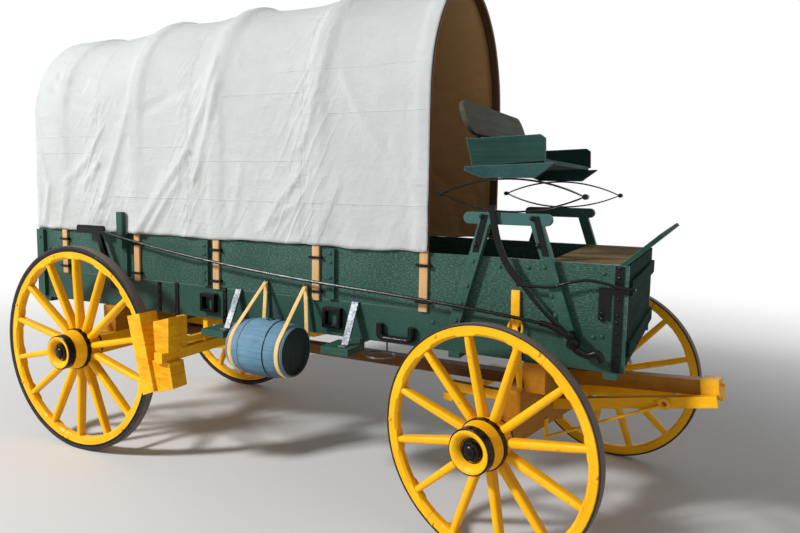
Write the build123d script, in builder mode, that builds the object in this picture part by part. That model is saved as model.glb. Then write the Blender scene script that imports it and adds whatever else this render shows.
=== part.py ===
from build123d import *
from math import cos, sin, sqrt, radians, degrees, atan2
import os

os.makedirs("parts", exist_ok=True)

# Real sizes in millimetres. X points forward, Y to the wagon's left, Z up, floor at Z 0.
wheelbase = 2903
front_axle_x = 1406
rear_axle_x = front_axle_x - wheelbase
track_outer = 1658
front_wheel_d = 1117.6
rear_wheel_d = 1320.8
tyre_width = 56
front_tyre_thickness = 9
rear_tyre_thickness = 20
front_felloe_depth = 50
rear_felloe_depth = 62
felloe_width = 52
wheel_dish = 22
arm_radius = 35
running_gap = 0.05
clearance = 6
steer_deg = -11.5

# Box, its walls and what is fixed to them.
box_length = 4036
box_width = 1074
box_front_x = front_axle_x + 404
box_rear_x = box_front_x - box_length
box_bottom_z = 900
board_line_z = 1098
box_top_z = 1395
wall = 25
floor_thickness = 25
half_box = box_width / 2

# Canvas top and its bows.
bow_width = 48
bow_thickness = 15
bow_spring_z = 2180
bow_crown_z = 2834
canvas_thickness = 3
hem_z = 1400

# Elliptic springs and the board above them.
spring_length = 711
spring_rise = 165
spring_width = 38
spring_x = front_axle_x - 150
spring_y = half_box + 20
rail_bottom_z = 1557
rail_height = 58
rail_thick = 40
spring_bottom_z = rail_bottom_z + rail_height

# Floor of the box between its walls, on cross sills that are clear of the two bolsters.
sill_x = [box_front_x - 60, front_axle_x - 420, front_axle_x - 1000, front_axle_x - 1560,
          rear_axle_x + 620, box_rear_x + 70]
with BuildPart() as box_floor:
    with Locations(((box_front_x + box_rear_x) / 2, 0, box_bottom_z + floor_thickness / 2)):
        Box(box_length - 2 * wall, box_width - 2 * wall, floor_thickness)
    for x in sill_x:
        with Locations((x, 0, box_bottom_z - 16)):
            Box(60, box_width, 32)
box_floor.part.label = "box_floor"
export_step(box_floor.part, "parts/box_floor.step")

# Side walls: two boards each, the joint between them cut as a shallow V.
for side_name, side in [("right", -1), ("left", 1)]:
    y_out = side * half_box
    y_in = side * (half_box - wall)
    with BuildPart() as box_side:
        with BuildSketch(Plane(origin=(box_rear_x, 0, 0), x_dir=(0, 1, 0), z_dir=(1, 0, 0))):
            with BuildLine():
                Polyline(
                    (y_in, box_bottom_z), (y_out, box_bottom_z), (y_out, board_line_z - 4),
                    (y_out - side * 4, board_line_z), (y_out, board_line_z + 4),
                    (y_out, box_top_z), (y_in, box_top_z), close=True,
                )
            make_face()
        extrude(amount=box_length)
    box_side.part.label = "box_side_" + side_name
    export_step(box_side.part, "parts/box_side_" + side_name + ".step")

# End gates between the walls, with two battens on the outside of each.
gates = [
    {"name": "front_gate", "x": box_front_x - wall / 2, "out": 1},
    {"name": "tail_gate", "x": box_rear_x + wall / 2, "out": -1},
]
for gate in gates:
    with BuildPart() as gate_part:
        with Locations((gate["x"], 0, (box_bottom_z + floor_thickness + box_top_z) / 2)):
            Box(wall, box_width - 2 * wall, box_top_z - box_bottom_z - floor_thickness)
        for z in (1010, 1290):
            with Locations((gate["x"] + gate["out"] * (wall / 2 + 9), 0, z)):
                Box(18, box_width - 60, 70)
    gate_part.part.label = gate["name"]
    export_step(gate_part.part, "parts/" + gate["name"] + ".step")

# Board let in between the walls that covers the front of the box.
deck_rear_x = front_axle_x + 41
deck_thick = 20
with BuildPart() as front_deck:
    with Locations(((deck_rear_x + box_front_x - wall) / 2, 0, box_top_z - deck_thick / 2)):
        Box(box_front_x - wall - deck_rear_x, box_width - 2 * wall, deck_thick)
front_deck.part.label = "front_deck"
export_step(front_deck.part, "parts/front_deck.step")

# Footboard that slants up and forward from the front edge, its foot cut level to sit on the walls.
foot_angle = 42.5
foot_length = 204
foot_thick = 22
rise = radians(foot_angle)
foot_x = box_front_x - 10
upper_x = foot_x + foot_length * cos(rise)
upper_z = box_top_z + foot_length * sin(rise)
with BuildPart() as footboard:
    with BuildSketch(Plane(origin=(0, half_box, 0), x_dir=(1, 0, 0), z_dir=(0, -1, 0))):
        with BuildLine():
            Polyline(
                (foot_x, box_top_z), (upper_x, upper_z),
                (upper_x - foot_thick * sin(rise), upper_z + foot_thick * cos(rise)),
                (foot_x - foot_thick / sin(rise), box_top_z), close=True,
            )
        make_face()
    extrude(amount=box_width)
    fillet(footboard.edges().group_by(Axis.Z)[-1], 6)
footboard.part.label = "footboard"
export_step(footboard.part, "parts/footboard.step")

# Upright cleats on the outside of the walls. The one beside the brake rod is a tall stake.
cleats = [
    {"x": box_rear_x + 38, "wide": 70, "top": box_top_z - 6, "tall_right": False},
    {"x": front_axle_x - 2747, "wide": 48, "top": box_top_z - 10, "tall_right": True},
    {"x": front_axle_x - 2055, "wide": 50, "top": box_top_z - 10, "tall_right": False},
    {"x": front_axle_x - 1150, "wide": 50, "top": box_top_z - 10, "tall_right": False},
]
with BuildPart() as side_cleats:
    for cleat in cleats:
        for side in (-1, 1):
            tall = cleat["tall_right"] and side < 0
            top = 1535 if tall else cleat["top"]
            low = 1105 if cleat["x"] > box_rear_x + 100 else box_bottom_z + 6
            high = box_top_z - 10
            with Locations((cleat["x"], side * (half_box + 11), (low + high) / 2)):
                Box(cleat["wide"], 22, high - low)
            if tall:
                with Locations((cleat["x"], side * (half_box + 44), (1300 + top) / 2)):
                    Box(cleat["wide"], 30, top - 1300)
                with Locations((cleat["x"], side * (half_box + 30), 1340)):
                    Box(cleat["wide"], 20, 80)
side_cleats.part.label = "side_cleats"
export_step(side_cleats.part, "parts/side_cleats.step")

# Five bent bows: straight legs outside the walls and a half ellipse above.
bow_foot_z = 1090
bow_x = [front_axle_x - 592, front_axle_x - 1251, front_axle_x - 1972, front_axle_x - 2640,
         front_axle_x - 3338]
bow_half = half_box + bow_thickness + 1
with BuildPart() as bows:
    for x in bow_x:
        with BuildSketch(Plane(origin=(x - bow_width / 2, 0, 0), x_dir=(0, 1, 0), z_dir=(1, 0, 0))):
            with BuildLine():
                Line((-bow_half, bow_foot_z), (-bow_half, bow_spring_z))
                EllipticalCenterArc((0, bow_spring_z), bow_half, bow_crown_z - bow_spring_z,
                                    start_angle=0, arc_size=180)
                Line((bow_half, bow_spring_z), (bow_half, bow_foot_z))
                Line((bow_half, bow_foot_z), (bow_half - bow_thickness, bow_foot_z))
                Line((bow_half - bow_thickness, bow_foot_z), (bow_half - bow_thickness, bow_spring_z))
                EllipticalCenterArc((0, bow_spring_z), bow_half - bow_thickness,
                                    bow_crown_z - bow_spring_z - bow_thickness,
                                    start_angle=0, arc_size=180)
                Line((bow_thickness - bow_half, bow_spring_z), (bow_thickness - bow_half, bow_foot_z))
                Line((bow_thickness - bow_half, bow_foot_z), (-bow_half, bow_foot_z))
            make_face()
        extrude(amount=bow_width)
bows.part.label = "bows"
export_step(bows.part, "parts/bows.step")

# Canvas over the bows, open at both ends, its hem below the top of the walls.
canvas_half = bow_half + 6
canvas_crown_z = bow_crown_z + 4
canvas_front_x = front_axle_x - 568
canvas_rear_x = front_axle_x - 3612
with BuildPart() as canvas_cover:
    with BuildSketch(Plane(origin=(canvas_rear_x, 0, 0), x_dir=(0, 1, 0), z_dir=(1, 0, 0))):
        for grow, mode in [(canvas_thickness, Mode.ADD), (0, Mode.SUBTRACT)]:
            half = canvas_half + grow
            with BuildLine():
                Line((-half, hem_z - 3 + grow), (-half, bow_spring_z))
                EllipticalCenterArc((0, bow_spring_z), half, canvas_crown_z + grow - bow_spring_z,
                                    start_angle=0, arc_size=180)
                Line((half, bow_spring_z), (half, hem_z - 3 + grow))
                Line((half, hem_z - 3 + grow), (-half, hem_z - 3 + grow))
            make_face(mode=mode)
    extrude(amount=canvas_front_x - canvas_rear_x)
canvas_cover.part.label = "canvas_cover"
export_step(canvas_cover.part, "parts/canvas_cover.step")

# Seat risers: a rail with round ends on two splayed legs, one on each side of the box.
rail_rear_x = front_axle_x - 372
rail_front_x = front_axle_x + 60
legs = [
    {"top": front_axle_x - 262, "foot": front_axle_x - 412, "foot_z": 1040},
    {"top": front_axle_x - 14, "foot": front_axle_x + 170, "foot_z": 1030},
]
leg_wide = 58
for side_name, side in [("right", -1), ("left", 1)]:
    y_face = side * half_box
    with BuildPart() as seat_riser:
        with BuildSketch(Plane(origin=(0, y_face, 0), x_dir=(1, 0, 0), z_dir=(0, -1, 0))):
            with Locations(((rail_rear_x + rail_front_x) / 2, rail_bottom_z + rail_height / 2)):
                SlotOverall(rail_front_x - rail_rear_x, rail_height)
            for leg in legs:
                with BuildLine():
                    Polyline(
                        (leg["top"] - leg_wide / 2, rail_bottom_z + 20),
                        (leg["top"] + leg_wide / 2, rail_bottom_z + 20),
                        (leg["foot"] + leg_wide / 2, leg["foot_z"]),
                        (leg["foot"] - leg_wide / 2, leg["foot_z"]), close=True,
                    )
                make_face()
        extrude(amount=-side * rail_thick)
    seat_riser.part.label = "seat_riser_" + side_name
    export_step(seat_riser.part, "parts/seat_riser_" + side_name + ".step")

# Full elliptic springs, two leaves thick, with an eye at each end.
leaf = 9
with BuildPart() as seat_springs:
    for side in (-1, 1):
        mid_z = spring_bottom_z + spring_rise / 2
        with BuildSketch(Plane(origin=(spring_x, side * spring_y + spring_width / 2, mid_z),
                               x_dir=(1, 0, 0), z_dir=(0, -1, 0))):
            for up in (-1, 1):
                with BuildLine():
                    ThreePointArc((-spring_length / 2, 0), (0, up * spring_rise / 2), (spring_length / 2, 0))
                    Line((spring_length / 2, 0), (spring_length / 2 - 12, 0))
                    ThreePointArc((spring_length / 2 - 12, 0), (0, up * (spring_rise / 2 - leaf)),
                                  (12 - spring_length / 2, 0))
                    Line((12 - spring_length / 2, 0), (-spring_length / 2, 0))
                make_face()
            with Locations((-spring_length / 2, 0), (spring_length / 2, 0)):
                Circle(13)
        extrude(amount=spring_width)
seat_springs.part.label = "seat_springs"
export_step(seat_springs.part, "parts/seat_springs.step")

# Seat: two blocks tapered in side view on the springs, with a plank that slopes back between its ends.
seat_tilt = 2.4
block_width = 40
block_bottom_z = spring_bottom_z + spring_rise
seat_top_z = block_bottom_z + 63
slope = radians(seat_tilt)
seat_x = Vector(cos(slope), 0, sin(slope))
plank_half = spring_y
plank_thick = 20
panel_thick = 18
panel_height = 132
back_board = 26


def seat_side(y):
    return Plane(origin=(spring_x, y, seat_top_z), x_dir=seat_x, z_dir=(0, -1, 0))


def in_seat(point):
    local = seat_side(0).to_local_coords(Vector(point))
    return (local.X, local.Y)


with BuildPart() as seat_plank:
    for side in (-1, 1):
        with BuildSketch(seat_side(side * spring_y + block_width / 2)):
            with BuildLine():
                Polyline(
                    (-225, 0), (211, 0), (208, -6), in_seat((spring_x + 121, 0, block_bottom_z)),
                    in_seat((spring_x - 136, 0, block_bottom_z)), (-226, -21), close=True,
                )
            make_face()
        extrude(amount=block_width)
    with BuildSketch(seat_side(plank_half)):
        with Locations((0, plank_thick / 2)):
            Rectangle(320, plank_thick)
    extrude(amount=2 * plank_half)
seat_plank.part.label = "seat_plank"
export_step(seat_plank.part, "parts/seat_plank.step")

# End boards at both ends of the plank, and the board behind it that leans back.
with BuildPart() as seat_panels:
    for y in (-plank_half, plank_half + panel_thick):
        with BuildSketch(seat_side(y)):
            with BuildLine():
                Polyline(
                    (-160, 0), (171, 12), (171, panel_height - 18), (148, panel_height),
                    (-189, panel_height), close=True,
                )
            make_face()
        extrude(amount=panel_thick)
    with BuildSketch(seat_side(plank_half + panel_thick)):
        with BuildLine():
            Polyline(
                (-160 - back_board, 0), (-160, 0), (-189, panel_height),
                (-189 - back_board, panel_height + 6), close=True,
            )
        make_face()
    extrude(amount=2 * (plank_half + panel_thick))
seat_panels.part.label = "seat_panels"
export_step(seat_panels.part, "parts/seat_panels.step")

# Back rest board with rounded ends, leaning back on two posts.
lean = 20
back_top = 70
back_height = 176
back_thick = 22
back_foot = seat_side(0).from_local_coords((-206, panel_height + 36, 0))
back_plane = Plane(
    origin=back_foot,
    x_dir=(0, 1, 0),
    z_dir=(cos(radians(lean)), 0, sin(radians(lean))),
)
with BuildPart() as seat_back:
    with BuildSketch(back_plane) as back_sketch:
        with Locations((0, back_height / 2)):
            Rectangle(2 * (plank_half - 30), back_height)
        fillet(back_sketch.vertices().sort_by(Axis.Y)[-2:], back_top)
        fillet(back_sketch.vertices().sort_by(Axis.Y)[:2], 84)
    extrude(amount=-back_thick)
seat_back.part.label = "seat_back"
export_step(seat_back.part, "parts/seat_back.step")

# Black irons on the walls: flat straps, corner irons, stake frames and the bow staples.
straps = [
    {"x": front_axle_x + 366, "wide": 38, "low": box_bottom_z + 4, "high": box_top_z - 4},
    {"x": front_axle_x - 1915, "wide": 28, "low": 880, "high": 1100},
    {"x": front_axle_x - 2306, "wide": 30, "low": 880, "high": 1100},
    {"x": front_axle_x - 2457, "wide": 28, "low": box_bottom_z + 4, "high": 1094},
]
stake_frames = [front_axle_x - 1136, front_axle_x - 2028]
with BuildPart() as side_irons:
    for side in (-1, 1):
        for strap in straps:
            with Locations((strap["x"], side * (half_box + 3), (strap["low"] + strap["high"]) / 2)):
                Box(strap["wide"], 6, strap["high"] - strap["low"])
        for x in stake_frames:
            with Locations((x, side * (half_box + 18), 1003)):
                Box(112, 36, 112)
                Box(76, 40, 76, mode=Mode.SUBTRACT)
        for x in bow_x:
            for z in (1140, 1330):
                with Locations((x, side * (bow_half + 4), z)):
                    Box(bow_width + 34, 8, 14)
                for step in (-1, 1):
                    with Locations((x + step * (bow_width / 2 + 9), side * (half_box + 9), z)):
                        Box(14, 18, 14)
    with Locations((front_axle_x + 306, -half_box - 4, 1216)):
        Box(52, 8, 150)
    with Locations((front_axle_x + 345, -half_box - 7, 1278)):
        Box(130, 14, 26)
side_irons.part.label = "side_irons"
export_step(side_irons.part, "parts/side_irons.step")

# Straps over the riser legs, and the two posts behind the seat that carry the back rest.
with BuildPart() as seat_irons:
    for side in (-1, 1):
        with BuildSketch(Plane(origin=(0, side * (half_box + rail_thick), 0), x_dir=(1, 0, 0), z_dir=(0, -1, 0))):
            for leg in legs:
                run = (leg["foot"] - leg["top"]) / (leg["foot_z"] - rail_bottom_z - 20)
                low_x = leg["top"] + run * (1420 - rail_bottom_z - 20)
                with BuildLine():
                    Polyline(
                        (leg["top"] - 14, rail_bottom_z + rail_height - 12),
                        (leg["top"] + 14, rail_bottom_z + rail_height - 12),
                        (low_x + 14, 1420), (low_x - 14, 1420), close=True,
                    )
                make_face()
        extrude(amount=-side * 5)
        rear_face = back_plane.offset(-back_thick)
        with BuildSketch(seat_side(side * 342 + 20)):
            with BuildLine() as post_line:
                Polyline(
                    (-160 - back_board, 0), (-189 - back_board, panel_height + 6),
                    in_seat(rear_face.from_local_coords((0, 0, 0))),
                    in_seat(rear_face.from_local_coords((0, 60, 0))),
                )
                offset(post_line.line, amount=8, side=Side.LEFT, kind=Kind.INTERSECTION, closed=True)
            make_face()
        extrude(amount=40)
seat_irons.part.label = "seat_irons"
export_step(seat_irons.part, "parts/seat_irons.step")

# Long brake rod with its ratchet plate and the arm that goes down behind the wheel.
rod_y = -(half_box + 74)
with BuildPart() as brake_rod:
    with BuildLine() as rod_line:
        Spline(
            (front_axle_x - 2865, rod_y, 1400), (front_axle_x - 1927, rod_y, 1264),
            (front_axle_x - 1210, rod_y, 1202), (front_axle_x - 527, rod_y, 1161),
            (front_axle_x + 55, rod_y, 1108),
        )
    with BuildSketch(Plane(origin=rod_line.line @ 0, z_dir=rod_line.line % 0)):
        RegularPolygon(9, 8)
    sweep(path=rod_line.line)
    with Locations((front_axle_x - 2995, rod_y, 1408)):
        Box(262, 14, 44)
    with BuildSketch(Plane(origin=(0, rod_y + 7, 0), x_dir=(1, 0, 0), z_dir=(0, -1, 0))):
        with BuildLine():
            Polyline(
                (front_axle_x - 2985, 1425), (front_axle_x - 2945, 1425),
                (front_axle_x - 2775, 1040), (front_axle_x - 2815, 1040), close=True,
            )
        make_face()
    extrude(amount=-24)
    with Locations((front_axle_x - 2800, (rod_y + 7 - half_box) / 2, 1060)):
        Box(60, -rod_y - 7 - half_box, 60)
brake_rod.part.label = "brake_rod"
export_step(brake_rod.part, "parts/brake_rod.step")

# Hand lever, foot rod and crank at the front of the box.
lever_y = -(half_box + 58)
with BuildPart() as brake_lever:
    with BuildSketch(Plane(origin=(0, lever_y + 6, 0), x_dir=(1, 0, 0), z_dir=(0, -1, 0))):
        with BuildLine():
            Polyline(
                (front_axle_x - 240, 1652), (front_axle_x - 208, 1652), (front_axle_x - 134, 1410),
                (front_axle_x - 62, 1282), (front_axle_x - 100, 1270), (front_axle_x - 172, 1400), close=True,
            )
        make_face()
    extrude(amount=12)
    with BuildLine() as foot_line:
        Polyline(
            (front_axle_x - 91, lever_y, 1276), (front_axle_x + 68, lever_y, 1280),
            (front_axle_x + 153, lever_y, 1310), (front_axle_x + 233, lever_y, 1325),
            (front_axle_x + 307, lever_y, 1318), (front_axle_x + 372, lever_y, 1301),
            (front_axle_x + 443, lever_y, 1298),
        )
    with BuildSketch(Plane(origin=foot_line.line @ 0, z_dir=foot_line.line % 0)):
        RegularPolygon(7, 8)
    sweep(path=foot_line.line, transition=Transition.RIGHT)
    with BuildSketch(Plane(origin=(0, lever_y + 6, 0), x_dir=(1, 0, 0), z_dir=(0, -1, 0))):
        with BuildLine():
            Polyline(
                (front_axle_x - 110, 1290), (front_axle_x - 66, 1290), (front_axle_x + 84, 1090),
                (front_axle_x + 48, 1076), close=True,
            )
        make_face()
    extrude(amount=12)
    with BuildLine() as crank_line:
        Spline(
            rod_line.line @ 1, (front_axle_x + 160, rod_y, 1046), (front_axle_x + 228, rod_y, 1010),
            (front_axle_x + 300, rod_y, 1003), (front_axle_x + 322, rod_y, 950),
            tangents=[rod_line.line % 1, Vector(0, 0, -1)],
        )
    with BuildSketch(Plane(origin=crank_line.line @ 0, z_dir=crank_line.line % 0)):
        Circle(15)
    sweep(path=crank_line.line)
    with BuildSketch(Plane(origin=(front_axle_x + 160, -half_box - rail_thick, 1046), z_dir=(0, -1, 0))):
        Circle(26)
    extrude(amount=20 - rod_y - half_box - rail_thick)
brake_lever.part.label = "brake_lever"
export_step(brake_lever.part, "parts/brake_lever.step")

# Brake beam across the wagon on four hangers, with blocks in front of each rear wheel.
beam_x = rear_axle_x + 798
beam_half = track_outer / 2 + 61
with BuildPart() as brake_beam:
    with Locations((beam_x, 0, 720)):
        Box(60, 2 * beam_half, 60)
    for side in (-1, 1):
        with Locations((beam_x, side * (half_box - 57), (750 + box_bottom_z) / 2)):
            Box(36, 50, box_bottom_z - 750)
        with Locations((beam_x, side * (half_box + 166), 845)):
            Box(36, 50, 190)
        with Locations((beam_x, side * (half_box + 55), 786)):
            Box(30, 172, 34)
brake_beam.part.label = "brake_beam"
export_step(brake_beam.part, "parts/brake_beam.step")

# Each shoe is a leaning block hollowed to the tyre, on a packing block in front of it.
shoe_gap = 12
cheek_y = track_outer / 2 + shoe_gap / 2
shoe_x = rear_axle_x + 659
with BuildPart() as brake_shoes:
    for side in (-1, 1):
        with BuildSketch(Plane(origin=(0, side * (track_outer / 2 - 14) + 65, 0), x_dir=(1, 0, 0), z_dir=(0, -1, 0))):
            with BuildLine():
                Polyline(
                    (shoe_x - 117, 940), (shoe_x - 18, 964), (shoe_x + 90, 511), (shoe_x, 478), close=True,
                )
            make_face()
        extrude(amount=130)
        with BuildSketch(Plane(origin=(0, side * (track_outer / 2 - 24) + 55, 0), x_dir=(1, 0, 0), z_dir=(0, -1, 0))):
            with BuildLine():
                Polyline(
                    (shoe_x + 47, 690), (shoe_x + 194, 690), (shoe_x + 222, 542), (shoe_x + 96, 504),
                    (shoe_x + 82, 545), close=True,
                )
            make_face()
        extrude(amount=110)
        with BuildSketch(Plane(origin=(0, side * cheek_y, rear_wheel_d / 2), x_dir=(1, 0, 0),
                               z_dir=(0, -side, 0))):
            with Locations((rear_axle_x, 0)):
                Circle(rear_wheel_d / 2 + shoe_gap)
        extrude(amount=200, mode=Mode.SUBTRACT)
        with BuildSketch(Plane(origin=(0, side * (track_outer / 2 - 24) + 55, 0), x_dir=(1, 0, 0), z_dir=(0, -1, 0))):
            with BuildLine():
                Polyline(
                    (shoe_x + 84, 750), (shoe_x + 72, 923), (shoe_x + 194, 955), (shoe_x + 190, 750), close=True,
                )
            make_face()
        extrude(amount=110)
brake_shoes.part.label = "brake_shoes"
export_step(brake_shoes.part, "parts/brake_shoes.step")

# Small cask slung on the right side.
keg_length = 376
keg_bilge = 161
keg_end = 135
keg_wall_gap = 30
keg_x = front_axle_x - 1442
keg_y = -(half_box + keg_wall_gap + keg_bilge)
keg_z = 834
with BuildPart() as keg:
    with BuildSketch(Plane(origin=(keg_x, keg_y, keg_z), x_dir=(1, 0, 0), z_dir=(0, -1, 0))):
        with BuildLine():
            Polyline(
                (-keg_length / 2 + 16, 0), (-keg_length / 2 + 16, keg_end - 12),
                (-keg_length / 2, keg_end - 10), (-keg_length / 2, keg_end),
            )
            ThreePointArc((-keg_length / 2, keg_end), (0, keg_bilge), (keg_length / 2, keg_end))
            Polyline(
                (keg_length / 2, keg_end), (keg_length / 2, keg_end - 10),
                (keg_length / 2 - 16, keg_end - 12), (keg_length / 2 - 16, 0),
            )
            Line((keg_length / 2 - 16, 0), (-keg_length / 2 + 16, 0))
        make_face()
    revolve(axis=Axis((keg_x, keg_y, keg_z), (1, 0, 0)))
    with Locations((keg_x + 20, keg_y, keg_z + keg_bilge)):
        Cylinder(22, 30, mode=Mode.SUBTRACT)
keg.part.label = "keg"
export_step(keg.part, "parts/keg.step")

# Two slings, each a thin strap round the cask that runs up to one hook on the wall.
slings = [{"at": -152}, {"at": 124}]
sling_wide = 28
sling_thick = 5
sling_turn = radians(10)
sling_across = Vector(-sin(sling_turn), cos(sling_turn), 0)
sling_along = Vector(cos(sling_turn), sin(sling_turn), 0)
with BuildPart() as keg_slings:
    for sling in slings:
        inner = abs(sling["at"]) - sling_wide / 2 - keg_bilge * sin(sling_turn)
        barrel = keg_end + (keg_bilge - keg_end) * (1 - (2 * inner / keg_length) ** 2)
        local = barrel / cos(sling_turn) + 3
        face = Vector(keg_x + sling["at"], keg_y, keg_z) - sling_along * (sling_wide / 2)
        hook = ((-keg_y - half_box - 14) / cos(sling_turn), 335)
        with BuildSketch(Plane(origin=face, x_dir=sling_across, z_dir=sling_along)):
            Circle(local + sling_thick)
            with Locations(hook):
                Circle(8)
            make_hull()
        extrude(amount=sling_wide)
        with BuildSketch(Plane(origin=face, x_dir=sling_across, z_dir=sling_along)):
            Circle(local)
            with Locations(hook):
                Circle(8 - sling_thick)
            make_hull()
        extrude(amount=sling_wide, mode=Mode.SUBTRACT)
keg_slings.part.label = "keg_slings"
export_step(keg_slings.part, "parts/keg_slings.step")

# Step boards under the right wall and their hangers.
steps = [
    {"x": front_axle_x - 1018, "hang": front_axle_x - 995},
    {"x": front_axle_x - 1848, "hang": front_axle_x - 1800},
]
step_top_z = 883
with BuildPart() as step_boards:
    for step in steps:
        with Locations((step["x"], -(half_box + 98), step_top_z - 19)):
            Box(165, 180, 38)
step_boards.part.label = "step_boards"
export_step(step_boards.part, "parts/step_boards.step")

with BuildPart() as step_irons:
    for step in steps:
        with BuildSketch(Plane(origin=(step["hang"] - 20, 0, 0), x_dir=(0, 1, 0), z_dir=(1, 0, 0))):
            with BuildLine():
                Polyline(
                    (-half_box, 1104), (-half_box - 12, 1104), (-half_box - 118, step_top_z + 6),
                    (-half_box - 150, step_top_z + 6), (-half_box - 150, step_top_z),
                    (-half_box - 110, step_top_z), (-half_box - 5, 1086), (-half_box, 1086), close=True,
                )
            make_face()
        extrude(amount=40)
step_irons.part.label = "step_irons"
export_step(step_irons.part, "parts/step_irons.step")

# Rub irons low on the walls, bent round bars where a turned front wheel would meet the box.
rub_rear_x = front_axle_x - 838
rub_front_x = front_axle_x - 652
rub_radius = 19
with BuildPart() as rub_irons:
    for side in (-1, 1):
        rub_plane = Plane(origin=(0, side * (half_box + rub_radius), 0), x_dir=(1, 0, 0), z_dir=(0, -1, 0))
        with BuildLine(rub_plane) as rub_line:
            FilletPolyline((rub_rear_x, 1004), (rub_rear_x, 926), (rub_front_x, 926), (rub_front_x, 1000),
                           radius=30)
        with BuildSketch(Plane(origin=rub_line.line @ 0, z_dir=rub_line.line % 0)):
            Circle(rub_radius)
        sweep(path=rub_line.line)
rub_irons.part.label = "rub_irons"
export_step(rub_irons.part, "parts/rub_irons.step")

# Rear axle bed with its arms, and the bolster above.
wheel_centre_y = track_outer / 2 - tyre_width / 2
hub_inner = 118
hub_outer = 146
hub_recess = 44
arm_end = wheel_centre_y + hub_outer - hub_recess
axle_half = wheel_centre_y - hub_inner - clearance
rear_axle_z = rear_wheel_d / 2
front_axle_z = front_wheel_d / 2
with BuildPart() as rear_axle:
    with Locations((rear_axle_x, 0, rear_axle_z + 5)):
        Box(110, 2 * axle_half, 120)
    with BuildSketch(Plane(origin=(rear_axle_x, -arm_end - clearance, rear_axle_z), z_dir=(0, 1, 0))):
        Circle(arm_radius)
    extrude(amount=2 * (arm_end + clearance))
    for side in (-1, 1):
        with BuildSketch(Plane(origin=(rear_axle_x, side * (arm_end + clearance), rear_axle_z),
                               z_dir=(0, side, 0))):
            RegularPolygon(42, 6)
        extrude(amount=22)
rear_axle.part.label = "rear_axle"
export_step(rear_axle.part, "parts/rear_axle.step")

with BuildPart() as rear_bolster:
    with Locations((rear_axle_x, 0, (rear_axle_z + 65 + box_bottom_z) / 2)):
        Box(110, box_width + 40, box_bottom_z - rear_axle_z - 65)
rear_bolster.part.label = "rear_bolster"
export_step(rear_bolster.part, "parts/rear_bolster.step")

# Reach from the rear axle to the front kingpin, with the rear hounds on both sides of it.
reach_z = rear_axle_z + 65 - 40
reach_front_z = 655
with BuildPart() as reach:
    with Locations(((rear_axle_x + 56 + front_axle_x + 40) / 2, 0, reach_front_z)):
        Box(front_axle_x + 40 - rear_axle_x - 56, 84, 64)
    with Locations((front_axle_x, 0, reach_front_z)):
        Hole(16)
reach.part.label = "reach"
export_step(reach.part, "parts/reach.step")

with BuildPart() as rear_hounds:
    for side in (-1, 1):
        with BuildSketch(Plane(origin=(0, 0, 620), x_dir=(1, 0, 0), z_dir=(0, 0, 1))):
            with BuildLine():
                Polyline(
                    (rear_axle_x + 56, side * 330), (rear_axle_x + 56, side * 400),
                    (rear_axle_x + 1160, side * 104), (rear_axle_x + 1160, side * 43), close=True,
                )
            make_face()
        extrude(amount=60)
rear_hounds.part.label = "rear_hounds"
export_step(rear_hounds.part, "parts/rear_hounds.step")

# Front bolster, fixed under the box, with the kingpin.
sand_top_z = 750
pin_radius = 16
with BuildPart() as front_bolster:
    with Locations((front_axle_x, 0, (sand_top_z + clearance + box_bottom_z) / 2)):
        Box(110, box_width + 40, box_bottom_z - sand_top_z - clearance)
    with Locations((front_axle_x, 0, (480 + sand_top_z + clearance) / 2)):
        Cylinder(pin_radius, sand_top_z + clearance - 480)
    with Locations((front_axle_x, 0, 470)):
        Cylinder(30, 20)
front_bolster.part.label = "front_bolster"
export_step(front_bolster.part, "parts/front_bolster.step")

# Front gear, built turned about the kingpin as it stands in the photograph.
steer = radians(steer_deg)
gear_plane = Plane(origin=(front_axle_x, 0, 0), x_dir=(cos(steer), sin(steer), 0), z_dir=(0, 0, 1))
bed_top_z = 605
bed_bottom_z = 498
bed_half = 52
sand_half = half_box + 23
hound_front = (823, 67, 750)
hound_axle = (0, 165, 585)
hound_rear = (-560, 228, 585)
hound_wide = 44
hound_deep = 54
bolt_x = 600
bolt_z = 703
bolt_radius = 13
with BuildPart() as front_hounds:
    for side in (-1, 1):
        with BuildLine(gear_plane) as hound_line:
            Polyline(
                (hound_front[0], side * hound_front[1], hound_front[2]),
                (hound_axle[0], side * hound_axle[1], hound_axle[2]),
                (hound_rear[0], side * hound_rear[1], hound_rear[2]),
            )
        start = Plane(origin=hound_line.line @ 0, x_dir=gear_plane.y_dir, z_dir=hound_line.line % 0)
        with BuildSketch(start):
            Rectangle(hound_wide, hound_deep)
        sweep(path=hound_line.line, transition=Transition.RIGHT)
    bolt_origin = gear_plane.from_local_coords((bolt_x, -200, bolt_z))
    with BuildSketch(Plane(origin=bolt_origin, z_dir=gear_plane.y_dir)):
        Circle(bolt_radius)
    extrude(amount=400, mode=Mode.SUBTRACT)
    sway_face = gear_plane.from_local_coords((-560, 0, 585 - hound_deep / 2 - 18))
    with BuildSketch(Plane(origin=sway_face, x_dir=gear_plane.y_dir, z_dir=gear_plane.x_dir)):
        Rectangle(620, 40)
    extrude(amount=60)
front_hounds.part.label = "front_hounds"
export_step(front_hounds.part, "parts/front_hounds.step")

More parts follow.
